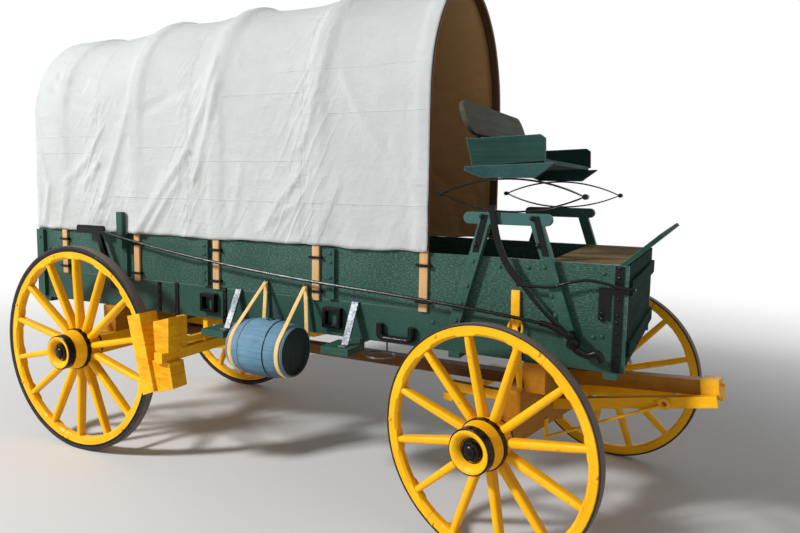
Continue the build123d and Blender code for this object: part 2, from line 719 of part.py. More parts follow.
# Front axle bed, notched for the hounds, with its arms and a hole for the kingpin.
with BuildPart() as front_axle:
    bed_face = gear_plane.from_local_coords((-bed_half, 0, (bed_bottom_z + bed_top_z) / 2))
    with BuildSketch(Plane(origin=bed_face, x_dir=gear_plane.y_dir, z_dir=gear_plane.x_dir)):
        Rectangle(2 * axle_half, bed_top_z - bed_bottom_z)
    extrude(amount=2 * bed_half)
    arm_start = gear_plane.from_local_coords((0, -arm_end - clearance, front_axle_z))
    with BuildSketch(Plane(origin=arm_start, z_dir=gear_plane.y_dir)):
        Circle(arm_radius)
    extrude(amount=2 * (arm_end + clearance))
    for side in (-1, 1):
        nut_start = gear_plane.from_local_coords((0, side * (arm_end + clearance), front_axle_z))
        with BuildSketch(Plane(origin=nut_start, z_dir=gear_plane.y_dir * side)):
            RegularPolygon(42, 6)
        extrude(amount=22)
    with Locations((front_axle_x, 0, bed_top_z - 60)):
        Cylinder(pin_radius + running_gap, 200, mode=Mode.SUBTRACT)
    add(front_hounds.part, mode=Mode.SUBTRACT)
front_axle.part.label = "front_axle"
export_step(front_axle.part, "parts/front_axle.step")

# Sand board over the axle bed, with a gap in the middle for the reach to swing in.
with BuildPart() as sand_board:
    face = gear_plane.from_local_coords((-54, 0, 0))
    with BuildSketch(Plane(origin=face, x_dir=gear_plane.y_dir, z_dir=gear_plane.x_dir)):
        with BuildLine():
            Polyline(
                (-sand_half, sand_top_z), (sand_half, sand_top_z), (sand_half, bed_top_z), (112, bed_top_z),
                (112, sand_top_z - 56), (-112, sand_top_z - 56), (-112, bed_top_z), (-sand_half, bed_top_z),
                close=True,
            )
        make_face()
    extrude(amount=108)
    with Locations((front_axle_x, 0, sand_top_z)):
        Cylinder(pin_radius + running_gap, 200, mode=Mode.SUBTRACT)
    add(front_hounds.part, mode=Mode.SUBTRACT)
sand_board.part.label = "sand_board"
export_step(sand_board.part, "parts/sand_board.step")

# Short stub of the draft pole between the hounds, rising forward.
stub_rear = (59, 0, 716)
stub_front = (816, 0, 799)
with BuildPart() as pole_stub:
    with BuildLine(gear_plane) as stub_line:
        Line(stub_rear, stub_front)
    with BuildSketch(Plane(origin=stub_line.line @ 0, x_dir=gear_plane.y_dir, z_dir=stub_line.line % 0)):
        Rectangle(70, 74)
    extrude(amount=stub_line.edge().length)
pole_stub.part.label = "pole_stub"
export_step(pole_stub.part, "parts/pole_stub.step")

# Cap iron on the pole stub with its end bolt, and the eyes and braces of the hounds.
with BuildPart() as gear_irons:
    cap_start = stub_line.line @ 0.9
    with BuildSketch(Plane(origin=cap_start, x_dir=gear_plane.y_dir, z_dir=stub_line.line % 1)):
        Rectangle(89, 88)
        Rectangle(70, 74, mode=Mode.SUBTRACT)
    extrude(amount=0.1 * stub_line.edge().length + 2)
    with BuildSketch(Plane(origin=stub_line.line @ 1, x_dir=gear_plane.y_dir, z_dir=stub_line.line % 1)):
        Rectangle(89, 88)
    extrude(amount=6)
    with BuildSketch(Plane(origin=gear_plane.from_local_coords((818, 0, 812)), z_dir=gear_plane.x_dir)):
        Circle(10)
    extrude(amount=20)
    for side in (-1, 1):
        eye_y = side * 120
        eye_origin = gear_plane.from_local_coords((bolt_x, eye_y, bolt_z))
        with BuildSketch(Plane(origin=eye_origin, z_dir=gear_plane.y_dir * side)):
            Circle(28)
            Circle(bolt_radius, mode=Mode.SUBTRACT)
        extrude(amount=13)
        with BuildLine(gear_plane) as brace_line:
            Line((bolt_x - 18, eye_y + side * 7, bolt_z - 14), (bed_half + 9, side * 268, bed_bottom_z - 55))
        with BuildSketch(Plane(origin=brace_line.line @ 0, z_dir=brace_line.line % 0)):
            RegularPolygon(8, 8)
        extrude(amount=brace_line.edge().length)
        plate_origin = gear_plane.from_local_coords((bed_half, side * 268, bed_bottom_z - 10))
        with BuildSketch(Plane(origin=plate_origin, x_dir=gear_plane.y_dir, z_dir=gear_plane.x_dir)):
            Rectangle(36, 110)
        extrude(amount=9)
gear_irons.part.label = "gear_irons"
export_step(gear_irons.part, "parts/gear_irons.step")

# Wheels: turned hub, felloe ring and spokes deep along the axle, leaning outward to give dish.
spoke_root = (58, 38)
spoke_tip = (44, 31)
spoke_round = 11
wheels = [
    {"name": "front_right", "side": -1, "front": True, "spokes": 12, "first": 12, "hub": 119},
    {"name": "front_left", "side": 1, "front": True, "spokes": 12, "first": 12, "hub": 119},
    {"name": "rear_right", "side": -1, "front": False, "spokes": 14, "first": 0, "hub": 128},
    {"name": "rear_left", "side": 1, "front": False, "spokes": 14, "first": 0, "hub": 128},
]
for wheel in wheels:
    side = wheel["side"]
    if wheel["front"]:
        radius = front_wheel_d / 2
        tyre_thickness = front_tyre_thickness
        felloe_depth = front_felloe_depth
        centre = gear_plane.from_local_coords((0, side * wheel_centre_y, radius))
        outward = gear_plane.y_dir * side
    else:
        radius = rear_wheel_d / 2
        tyre_thickness = rear_tyre_thickness
        felloe_depth = rear_felloe_depth
        centre = Vector(rear_axle_x, side * wheel_centre_y, radius)
        outward = Vector(0, side, 0)
    up = Vector(0, 0, 1)
    profile = Plane(origin=centre, x_dir=up, z_dir=up.cross(outward))
    axle_line = Axis(centre, outward)
    felloe_outer = radius - tyre_thickness
    felloe_inner = felloe_outer - felloe_depth
    hub_r = wheel["hub"]
    with BuildPart() as wood:
        with BuildSketch(profile):
            with BuildLine():
                Polyline(
                    (arm_radius + running_gap, -hub_inner), (86, -hub_inner), (hub_r - 10, -66),
                    (hub_r, -48), (hub_r, 28), (hub_r - 7, 62), (105, 97), (102, hub_outer), (90, hub_outer),
                    (52, hub_outer - hub_recess), (arm_radius + running_gap, hub_outer - hub_recess),
                    close=True,
                )
            make_face()
            with Locations(((felloe_inner + felloe_outer) / 2, 0)):
                Rectangle(felloe_depth, felloe_width)
        revolve(axis=axle_line)
        for i in range(wheel["spokes"]):
            turn = radians(wheel["first"] + 360 * i / wheel["spokes"])
            radial = up * cos(turn) + outward.cross(up) * sin(turn)
            root = centre + radial * (hub_r - 14) - outward * wheel_dish
            tip = centre + radial * (felloe_inner + 8)
            along = (tip - root).normalized()
            with BuildSketch(Plane(origin=root, x_dir=outward, z_dir=along)):
                RectangleRounded(*spoke_root, spoke_round)
            with BuildSketch(Plane(origin=tip, x_dir=outward, z_dir=along)):
                RectangleRounded(*spoke_tip, spoke_round)
            loft()
    wood.part.label = "wheel_" + wheel["name"]
    export_step(wood.part, "parts/wheel_" + wheel["name"] + ".step")
    with BuildPart() as tyre:
        with BuildSketch(profile):
            with Locations((radius - tyre_thickness / 2, 0)):
                Rectangle(tyre_thickness, tyre_width)
        revolve(axis=axle_line)
    tyre.part.label = "tyre_" + wheel["name"]
    export_step(tyre.part, "parts/tyre_" + wheel["name"] + ".step")
print("parts written")
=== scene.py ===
# A covered freight wagon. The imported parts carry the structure; this file adds the cloth,
# the turned and bent pieces, the bolts and every finish. Metres, X forward, Y left, Z up.
import bpy
import math
import numpy as np
from mathutils import Matrix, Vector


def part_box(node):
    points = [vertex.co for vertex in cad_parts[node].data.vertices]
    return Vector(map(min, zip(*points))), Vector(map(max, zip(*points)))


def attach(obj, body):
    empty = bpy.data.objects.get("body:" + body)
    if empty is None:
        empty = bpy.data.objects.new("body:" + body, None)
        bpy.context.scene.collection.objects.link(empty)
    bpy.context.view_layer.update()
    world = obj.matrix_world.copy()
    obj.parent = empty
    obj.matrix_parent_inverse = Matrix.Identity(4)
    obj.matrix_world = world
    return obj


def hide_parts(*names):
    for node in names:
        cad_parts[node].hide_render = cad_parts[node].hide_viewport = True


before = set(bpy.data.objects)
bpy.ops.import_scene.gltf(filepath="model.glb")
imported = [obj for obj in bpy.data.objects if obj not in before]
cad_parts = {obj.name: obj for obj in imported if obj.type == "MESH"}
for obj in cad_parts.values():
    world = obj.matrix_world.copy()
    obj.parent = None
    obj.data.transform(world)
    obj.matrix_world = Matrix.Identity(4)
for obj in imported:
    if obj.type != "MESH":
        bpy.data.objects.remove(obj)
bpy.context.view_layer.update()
print("frame loaded")

wagon = {
    "halfBox": 0.537,   # half the box's outside width
    "steerDeg": -11.5,  # how far the front gear stands turned at rest
}


# Meshes. A shape is its points, its quads with their UVs in metres, and its end caps.
def gridQuads(rows, cols, closedRows, closedCols):
    # each quad's row and column, and the numbers of its corners; a closed way ends where it began
    r, c = (a.ravel() for a in np.meshgrid(np.arange(rows - 1 + closedRows), np.arange(cols - 1 + closedCols),
                                           indexing="ij"))
    r2, c2 = (r + 1) % rows, (c + 1) % cols
    return r, c, np.stack([r * cols + c, r * cols + c2, r2 * cols + c2, r2 * cols + c], 1)


def ringShape(rings, wrapRows=False):
    # rings[row, column] are points; each row is a closed loop, and the rows follow one another
    rows, cols = rings.shape[:2]
    r, c, quads = gridQuads(rows, cols, wrapRows, True)
    loop = np.concatenate([rings, rings[:1]]) if wrapRows else rings
    along = np.concatenate([[0], np.cumsum(np.linalg.norm(np.diff(loop, axis=0), axis=2).mean(1))])
    middle = rings[rows // 2]
    around = np.concatenate([[0], np.cumsum(np.linalg.norm(np.roll(middle, -1, 0) - middle, axis=1))])
    uv = np.stack([np.stack([along[a], around[b]], 1)
                   for a, b in ((r, c), (r, c + 1), (r + 1, c + 1), (r + 1, c))], 1)
    caps = [] if wrapRows else [list(range(cols))[::-1], [(rows - 1) * cols + i for i in range(cols)]]
    return {"points": rings.reshape(-1, 3), "quads": quads, "uv": uv, "caps": caps}


def joined(shapes):
    # several shapes as one: each shape's corner numbers move up by the points before it
    points, quads, uv, caps, start = [], [], [], [], 0
    for shape in shapes:
        points.append(shape["points"])
        quads.append(shape["quads"] + start)
        uv.append(shape["uv"])
        caps += [[i + start for i in cap] for cap in shape["caps"]]
        start += len(shape["points"])
    return {"points": np.concatenate(points), "quads": np.concatenate(quads),
            "uv": np.concatenate(uv), "caps": caps}


def unit(v):
    # each vector divided by its length
    v = np.asarray(v, float)
    return v / np.linalg.norm(v, axis=-1, keepdims=True)


def bell(value, width, power=2):
    # 1 at zero and near 0 two widths away; a higher power gives it a flatter top
    return np.exp(-(np.abs(value) / width) ** power)


def evenAngles(count):
    # a full turn in even steps
    return np.arange(count) * 2 * math.pi / count


def roundFrom(t, first, second):
    # the direction at each angle, from a first direction round towards a second
    return np.cos(t)[:, None] * np.asarray(first, float) + np.sin(t)[:, None] * np.asarray(second, float)


def acrossOf(axis):
    # any direction at a right angle to the axis, upright where it can be
    axis = unit(axis)
    ref = np.array([0.0, 0.0, 1.0]) if abs(axis[2]) < 0.9 else np.array([1.0, 0.0, 0.0])
    return unit(ref - axis * (ref @ axis))


def repeated(shape, places, axes):
    # the shape's own Z turned to each axis and put at each place, worked out as one array
    z = unit(np.broadcast_to(np.asarray(axes, float), (len(places), 3)))
    x = np.array([acrossOf(a) for a in z])
    moved = np.asarray(places, float)[:, None] + shape["points"] @ np.stack([x, np.cross(z, x), z], 1)
    return joined([dict(shape, points=points) for points in moved])


def turned(profile, centre=(0, 0, 0), axis=(0, 0, 1), angles=64, ring=False):
    # each profile point is a distance from the axis and one along it, carried round in even steps
    axis = unit(axis)
    side = acrossOf(axis)
    t, profile = evenAngles(angles), np.asarray(profile, float)
    rings = profile[:, None, :1] * roundFrom(t, side, np.cross(axis, side)) + profile[:, None, 1:] * axis
    return ringShape(rings + np.asarray(centre, float), ring)


def rounded(wide, thick, radius):
    # a rectangle whose corners are arcs of three steps
    corners = [(1, 1, 0), (-1, 1, 90), (-1, -1, 180), (1, -1, 270)]
    middle = np.array([wide, thick]) / 2 - radius
    arc = np.array([0, 30, 60, 90])
    return np.concatenate([middle * (x, y) + roundFrom(np.radians(arc + a), (radius, 0), (0, radius))
                           for x, y, a in corners])


def circle(radius):
    # ten points on a circle at even angles
    return roundFrom(evenAngles(10), (radius, 0), (0, radius))


def carried(path, section, up=(0, 0, 1), grow=np.ones((1, 2)), closed=False):
    # the section is set square to the path at each of its points; grow scales it there
    path = np.asarray(path, float)
    tangent = unit(np.roll(path, -1, 0) - np.roll(path, 1, 0) if closed else np.gradient(path, axis=0))
    side = unit(np.cross(np.broadcast_to(np.asarray(up, float), path.shape), tangent))
    sized = section[None] * grow[:, None]
    rings = path[:, None] + sized[..., :1] * side[:, None] + sized[..., 1:] * np.cross(tangent, side)[:, None]
    return ringShape(rings, closed)


def smoothLine(points, count):
    # a cubic through the points: each span blends the slopes of its two ends
    p = np.asarray(points, float)
    slope = np.gradient(p, axis=0)
    t = np.linspace(0, len(p) - 1 - 1e-9, count)
    i = t.astype(int)
    f = (t - i)[:, None]
    a, b, sa, sb = p[i], p[i + 1], slope[i], slope[i + 1]
    return ((2 * f**3 - 3 * f**2 + 1) * a + (f**3 - 2 * f**2 + f) * sa
            + (3 * f**2 - 2 * f**3) * b + (f**3 - f**2) * sb)


def bar(a, b, wide, thick, up=(0, 0, 1), radius=0.002):
    # a straight stick with eased ends: wide lies across up, thick along it
    a, b = np.asarray(a, float), np.asarray(b, float)
    length = np.linalg.norm(b - a)
    s = np.array([0, radius * 0.3, radius, length / 2, length - radius, length - radius * 0.3, length])
    ease = np.array([radius, radius * 0.4, 0, 0, 0, radius * 0.4, radius])
    path = a + (b - a) * (s / length)[:, None]
    return carried(path, rounded(wide, thick, radius), up,
                   np.stack([1 - 2 * ease / wide, 1 - 2 * ease / thick], 1))


def domeShape(radius, height):
    # a bolt's head: a low rounded profile, turned in ten steps
    return turned([(radius, -0.002), (radius, height * 0.3), (radius * 0.86, height * 0.68),
                   (radius * 0.5, height * 0.94), (radius * 0.12, height)], angles=10)


def outwards(shape):
    # the volume's sign tells whether the faces point out
    p, q = shape["points"], shape["quads"]
    a, b, c, d = (p[q[:, i]] for i in range(4))
    if np.sum(a * (np.cross(b, c) + np.cross(c, d))) < 0:
        shape["quads"] = q[:, ::-1]
        shape["uv"] = shape["uv"][:, ::-1]
        shape["caps"] = [cap[::-1] for cap in shape["caps"]]
    return shape


def placed(name, data):
    # a mesh, lamp or camera put in the scene
    thing = bpy.data.objects.new(name, data)
    bpy.context.scene.collection.objects.link(thing)
    return thing


def lay(name, shapes, finish, body="wagon", sharp=35, isOpen=False):
    # the shapes become one mesh, with its UVs in metres, that rides on a body
    shape = joined([s if isOpen else outwards(s) for s in shapes])
    mesh = bpy.data.meshes.new(name)
    mesh.from_pydata(shape["points"].tolist(), [], shape["quads"].tolist() + shape["caps"])
    uvLayer = mesh.uv_layers.new(name="grain")
    capUv = np.zeros((sum(len(c) for c in shape["caps"]), 2))
    allUv = np.concatenate([shape["uv"].reshape(-1, 2), capUv])
    uvLayer.data.foreach_set("uv", allUv.ravel().astype(np.float32))
    mesh.shade_smooth()
    mesh.set_sharp_from_angle(angle=math.radians(sharp))
    mesh.validate()
    mesh.materials.append(finish)
    piece = placed(name, mesh)
    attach(piece, body)
    return piece


# Finishes. A Wire is one socket, and sums of wires and numbers add their Math nodes.
def maths(operation, swapped=False):
    # one operator of a Wire; in its reflected form the other value comes first
    def apply(self, other):
        a, b = (other, self) if swapped else (self, other)
        return self.finish.node("ShaderNodeMath", {"operation": operation}, {0: a, 1: b})
    return apply


class Wire:
    def __init__(self, finish, socket):
        self.finish = finish
        self.socket = socket

    __add__, __radd__ = maths("ADD"), maths("ADD", True)
    __sub__, __rsub__ = maths("SUBTRACT"), maths("SUBTRACT", True)
    __mul__, __rmul__ = maths("MULTIPLY"), maths("MULTIPLY", True)
    __truediv__, __rtruediv__ = maths("DIVIDE"), maths("DIVIDE", True)
    __pow__, __rpow__ = maths("POWER"), maths("POWER", True)


class Finish:
    # a material, or the world, with the node that its values are set on
    def __init__(self, name, owner=None, last="Principled BSDF"):
        self.material = owner or bpy.data.materials.new(name)
        self.material.use_nodes = True
        self.tree = self.material.node_tree
        self.shader = self.tree.nodes[last]

    def fill(self, node, sockets):
        # values are set on a node's sockets, and wires linked to them
        for key, value in sockets.items():
            if isinstance(value, Wire):
                self.tree.links.new(value.socket, node.inputs[key])
            else:
                node.inputs[key].default_value = value

    def node(self, kind, settings=None, sockets=None, out=0):
        # every node is made here: its settings first, then its sockets
        made = self.tree.nodes.new(kind)
        for key, value in (settings or {}).items():
            setattr(made, key, value)
        self.fill(made, sockets or {})
        return Wire(self, made.outputs[out])

    def set(self, **values):
        # the last node's own sockets; an underscore stands for a space
        self.fill(self.shader, {key.replace("_", " "): value for key, value in values.items()})

    def place(self, scale, source="Object"):
        # a spot's coordinates, each times its scale
        where = self.node("ShaderNodeTexCoord", None, None, source)
        return self.node("ShaderNodeMapping", None, {"Vector": where, "Scale": scale})

    def part(self, vector, axis):
        # one of a vector's three numbers
        return self.node("ShaderNodeSeparateXYZ", None, {"Vector": vector}, axis)

    def noise(self, vector, scale, detail, rough):
        return self.node("ShaderNodeTexNoise", None,
                         {"Vector": vector, "Scale": scale, "Detail": detail, "Roughness": rough})

    def step(self, value, low, high):
        # 0 up to low, 1 from high on, straight between them
        return self.node("ShaderNodeMapRange", {"clamp": True},
                         {"Value": value, "From Min": low, "From Max": high})

    def peak(self, value, at, width):
        # a bell: 1 where the value is at its middle, near 0 two widths away
        off = (value - at) / width
        return self.node("ShaderNodeMath", {"operation": "EXPONENT"}, {0: off * off * -1.0})

    def mix(self, share, a, b):
        a, b = (c if isinstance(c, Wire) else (*c, 1.0) for c in (a, b))
        return self.node("ShaderNodeMix", {"data_type": "RGBA"}, {0: share, 6: a, 7: b}, 2)

    def bump(self, height, depth, normal=None):
        sockets = {"Height": height, "Distance": depth, "Strength": 1.0}
        if normal is not None:
            sockets["Normal"] = normal
        return self.node("ShaderNodeBump", None, sockets)

    def background(self):
        # 1 for a ray that shows the background to the camera or in a reflection, 0 for one that lights
        kinds = [self.node("ShaderNodeLightPath", None, None, "Is " + kind + " Ray")
                 for kind in ("Camera", "Glossy", "Transmission")]
        return self.step(kinds[0] + kinds[1] + kinds[2], 0.0, 1.0)

    def eased(self, radius):
        # the normal of an edge that is rounded to this radius, and how much of an edge each spot is
        soft = self.node("ShaderNodeBevel", {"samples": 4}, {"Radius": radius})
        flat = self.node("ShaderNodeNewGeometry", None, None, "Normal")
        along = self.node("ShaderNodeVectorMath", {"operation": "DOT_PRODUCT"}, {0: soft, 1: flat}, "Value")
        return soft, 1 - along


# Wood under paint: the grain runs along the axis whose scale is small.
def paintedWood(name, look, **changes):
    made, look = Finish(name), dict(look, **changes)
    grainAt = made.place(look["grain"], look.get("source", "Object"))
    body = made.place((1, 1, 1))
    streak = made.noise(grainAt, 1.0, 7.0, 0.62)
    fine = made.noise(grainAt, 3.4, 6.0, 0.7)
    blot = made.noise(body, look["blot"], 4.0, 0.6)
    soft, edge = made.eased(look["ease"])
    shade = made.mix(made.step(streak, 0.32, 0.68), look["dark"], look["base"])
    shade = made.mix(made.step(blot, 0.42, 0.72) * look["fade"], shade, look["pale"])
    chip = made.step(edge * 5.0 + blot * 0.9 + fine * 0.7, look["wearFrom"], look["wearFrom"] + 0.22)
    shade = made.mix(chip * look["wear"], shade, look["bare"])
    shade = made.mix(made.step(fine, 0.5, 0.74) * look.get("lines", 0.3), shade, look["grime"])
    spot = made.step(made.noise(body, 34.0, 3.0, 0.6), 0.66, 0.72) * look.get("dirt", 0.35)
    shade = made.mix(spot, shade, look["grime"])
    if "speck" in look:
        # short pale specks where the paint has gone from the raised grain, fewer below the joint
        short = made.place((64, 190, 190))
        joint = look.get("jointAt", 0)
        upper = made.step(made.part(body, 2), joint - 0.002, joint) * 0.75 + 0.25
        dust = made.step(made.noise(short, 1.0, 2.0, 0.5) + (fine + blot - 1) * 0.18, 0.47, 0.63)
        shade = made.mix(dust * upper * look["speck"], shade, look["bare"])
    if "jointAt" in look:
        # the worn arris where the upper and lower boards meet
        line = made.peak(made.part(body, 2), look["jointAt"], 0.0022)
        shade = made.mix(line * made.step(fine + blot * 0.5, 0.55, 0.8) * 0.8, shade, look["bare"])
    if "shadeLow" in look:
        # painted shade: the colour darkens towards the bottom
        below = made.step(made.part(body, 2) + blot * 0.03, look["shadeLow"][1], look["shadeLow"][0])
        shade = made.mix(below * 0.85, shade, look["grime"])
    if "stain" in look:
        # another colour from a height upwards
        above = made.step(made.part(body, 2) + blot * 0.02, look["stainFrom"], look["stainFrom"] + 0.03)
        shade = made.mix(above * 0.9, shade, look["stain"])
    made.set(Base_Color=shade, Roughness=look["rough"] + (1 - streak) * 0.14 + chip * 0.25,
             Specular_IOR_Level=look.get("gloss", 0.2),
             Normal=made.bump(streak * 0.7 + fine * 0.5 + chip * -0.3, look["deep"], soft))
    return made.material


greenLook = {
    "grain": (1.6, 46.0, 46.0), "blot": 2.6, "ease": 0.003, "dark": (0.018, 0.06, 0.046),
    "base": (0.027, 0.088, 0.066), "pale": (0.05, 0.13, 0.102), "fade": 0.45, "bare": (0.11, 0.225, 0.18),
    "wearFrom": 1.36, "wear": 0.8, "grime": (0.01, 0.026, 0.022), "rough": 0.38, "deep": 0.002,
}
seatLook = dict(
    greenLook, bare=(0.24, 0.32, 0.28), wearFrom=1.12, wear=0.85, rough=0.6, deep=0.003, ease=0.005,
    gloss=0.12)
yellowLook = {
    "blot": 5.0, "ease": 0.003, "dark": (0.9, 0.4, 0.003), "base": (0.98, 0.51, 0.005),
    "pale": (1.0, 0.6, 0.016), "fade": 0.5, "bare": (1.0, 0.72, 0.16), "wearFrom": 1.5, "wear": 0.55,
    "grime": (0.36, 0.15, 0.01), "rough": 0.3, "deep": 0.0006, "dirt": 0.5, "gloss": 0.18, "lines": 0.12,
}


# Iron, painted or bare: blotches of rust or wear, and paler edges.
def ironFinish(name, base, rust, rough, wear=0.35, metal=0.0, gloss=0.25):
    made = Finish(name)
    body = made.place((1, 1, 1))
    blot = made.noise(body, 14.0, 6.0, 0.65)
    fine = made.noise(body, 160.0, 4.0, 0.6)
    soft, edge = made.eased(0.0015)
    worn = made.step(edge * 3.0 + blot, 0.92, 1.15)
    shade = made.mix(made.step(blot * 0.55 + fine * 0.45, 0.45, 0.62) * wear, base, rust)
    shade = made.mix(worn * 0.5, shade, tuple(min(1, c * 3 + 0.02) for c in base))
    made.set(Base_Color=shade, Metallic=metal, Roughness=rough + blot * 0.2, Specular_IOR_Level=gloss,
             Normal=made.bump(fine * 0.6 + blot, 0.0012, soft))
    return made.material


greenX = paintedWood("greenBoards", greenLook)
wallWood = paintedWood(
    "wallBoards", greenLook, jointAt=1.0995, bare=(0.17, 0.29, 0.24), speck=0.3, base=(0.018, 0.064, 0.048),
    pale=(0.032, 0.095, 0.075))
riserWood = paintedWood(
    "riserWood", greenLook, grain=(12.0, 46.0, 12.0), stainFrom=1.545, stain=(0.045, 0.122, 0.112),
    wearFrom=1.26, speck=0.14)
greenZ = paintedWood("greenUprights", greenLook, grain=(40.0, 40.0, 1.8))
greenY = paintedWood("greenCross", greenLook, grain=(46.0, 1.6, 46.0))
seatWood = paintedWood(
    "seatBoard", seatLook, grain=(55.0, 2.0, 55.0), dark=(0.012, 0.044, 0.043), base=(0.022, 0.068, 0.066),
    pale=(0.06, 0.15, 0.14), fade=0.5)
panelWood = paintedWood(
    "seatPanels", seatLook, grain=(2.0, 42.0, 52.0), dark=(0.006, 0.028, 0.022), base=(0.011, 0.047, 0.038),
    pale=(0.03, 0.09, 0.076), fade=0.4)
yellowX = paintedWood("yellowTimbers", yellowLook, grain=(1.8, 34.0, 34.0))
yellowY = paintedWood("yellowBeds", yellowLook, grain=(34.0, 1.8, 34.0))
yellowWheel = paintedWood("yellowWheels", yellowLook, grain=(2.0, 42.0, 1.0), source="UV")
yellowBlock = paintedWood(
    "yellowBlocks", yellowLook, grain=(10.0, 10.0, 60.0), deep=0.005, fade=0.8, dirt=0.8,
    dark=(0.74, 0.27, 0.002), wearFrom=1.34, grime=(0.24, 0.09, 0.01))
# the reach is brown: partly its own duller paint, partly painted shade under the box
poleWoodAndShade = paintedWood(
    "brownPoleAndShade", yellowLook, grain=(1.5, 30.0, 30.0), dark=(0.1, 0.034, 0.006), base=(0.17, 0.062, 0.01),
    pale=(0.27, 0.115, 0.02), bare=(0.34, 0.18, 0.06), rough=0.42)
# the gear's timbers under the box get a darker, browner yellow: painted shade
shadedGearLook = dict(
    yellowLook, dark=(0.34, 0.13, 0.006), base=(0.44, 0.185, 0.01), pale=(0.58, 0.28, 0.02),
    bare=(0.66, 0.38, 0.08), rough=0.36)
shadedGearX = paintedWood("gearTimbersPaintedShade", shadedGearLook, grain=(1.8, 34.0, 34.0))
shadedGearY = paintedWood("gearBedsPaintedShade", shadedGearLook, grain=(34.0, 1.8, 34.0))
footWood = paintedWood(
    "footBoard", greenLook, grain=(46.0, 1.6, 46.0), dark=(0.01, 0.034, 0.028), base=(0.018, 0.058, 0.048),
    bare=(0.16, 0.27, 0.23), wearFrom=1.2, wear=0.85, rough=0.65, gloss=0.08, ease=0.005, deep=0.003)
# the front gate's green is darkened almost to black: painted shade
shadedGateWood = paintedWood(
    "gateBoardsPaintedShade", greenLook, grain=(46.0, 1.6, 46.0), dark=(0.005, 0.017, 0.014), base=(0.01, 0.032, 0.026),
    pale=(0.02, 0.055, 0.045), bare=(0.2, 0.3, 0.26), wearFrom=1.34, wear=0.85, rough=0.75, gloss=0.04)
deckWood = paintedWood(
    "deckBoard", greenLook, grain=(2.0, 40.0, 40.0), dark=(0.06, 0.036, 0.01), base=(0.15, 0.093, 0.034),
    pale=(0.26, 0.175, 0.075), bare=(0.36, 0.27, 0.14), rough=0.65, deep=0.003, wear=0.5, gloss=0.02,
    speck=0.45)
backWood = paintedWood(
    "backBoard", greenLook, grain=(46.0, 1.8, 46.0), dark=(0.048, 0.042, 0.03), base=(0.092, 0.08, 0.058),
    pale=(0.075, 0.13, 0.11), bare=(0.16, 0.33, 0.29), fade=0.6, wearFrom=1.18, wear=0.9, rough=0.6,
    gloss=0.08, deep=0.003)
blackIron = ironFinish("blackIron", (0.004, 0.004, 0.005), (0.013, 0.01, 0.008), 0.13, gloss=0.2)
greyIron = ironFinish("greyIron", (0.06, 0.068, 0.08), (0.5, 0.53, 0.55), 0.34, 0.7, 0.35)
tyreIron = ironFinish("tyreSteel", (0.02, 0.018, 0.019), (0.07, 0.05, 0.04), 0.4, 0.5, 0.2)
yellowIron = ironFinish("yellowIron", (0.92, 0.47, 0.006), (0.66, 0.3, 0.02), 0.32, 0.5)
slingFinish = ironFinish("slingStrap", (0.82, 0.56, 0.22), (0.62, 0.34, 0.12), 0.5, 0.7)
treadIron = ironFinish("tyreTread", (0.135, 0.108, 0.096), (0.19, 0.145, 0.122), 0.55, 0.8)
print("finishes made")

nodesOf = [
    (greenX, "box_floor step_boards"), (greenY, "tail_gate"), (greenZ, "side_cleats"),
    (shadedGateWood, "front_gate"), (wallWood, "box_side_right box_side_left"),
    (riserWood, "seat_riser_right seat_riser_left"), (deckWood, "front_deck"), (footWood, "footboard"),
    (seatWood, "seat_plank"), (panelWood, "seat_panels"), (backWood, "seat_back"),
    (blackIron, "side_irons seat_springs seat_irons brake_rod rub_irons"), (greyIron, "step_irons"),
    (yellowIron, "gear_irons"), (yellowX, "rear_hounds front_hounds"), (yellowY, "brake_beam rear_axle"),
    (yellowBlock, "brake_shoes"), (poleWoodAndShade, "reach"), (shadedGearX, "pole_stub"),
    (shadedGearY, "rear_bolster front_bolster front_axle sand_board"),
]
for finish, names in nodesOf:
    for name in names.split():
        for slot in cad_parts[name].material_slots:
            slot.material = finish


# Cloth top. Two parameters: the way across over the bows, from hem to hem, and the way along.
cloth = {
    "front": 0.838, "rear": -2.206, "half": 0.562, "springZ": 2.18, "hemZ": 1.398,
    "bows": [0.814, 0.155, -0.566, -1.234, -1.932], "bowHalf": 0.024,
    "crowns": [2.872, 2.868, 2.874, 2.842, 2.782], "rearCrown": 2.79, "baseCrown": 2.841, "roofFrom": 1.9,
    "seams": [0.064, -0.78, -1.59], "lap": 0.0024, "stitch": 0.0035, "pucker": 0.006, "sag": 0.022,
    "slack": 0.004, "drop": 0.012, "foldHeight": 1.8, "slant": 0.5, "ripple": 0.01, "hemRoll": 0.003,
    "hemWave": 0.006, "uneven": 0.0035, "across": 186, "along": 236, "thick": 0.0016,
}
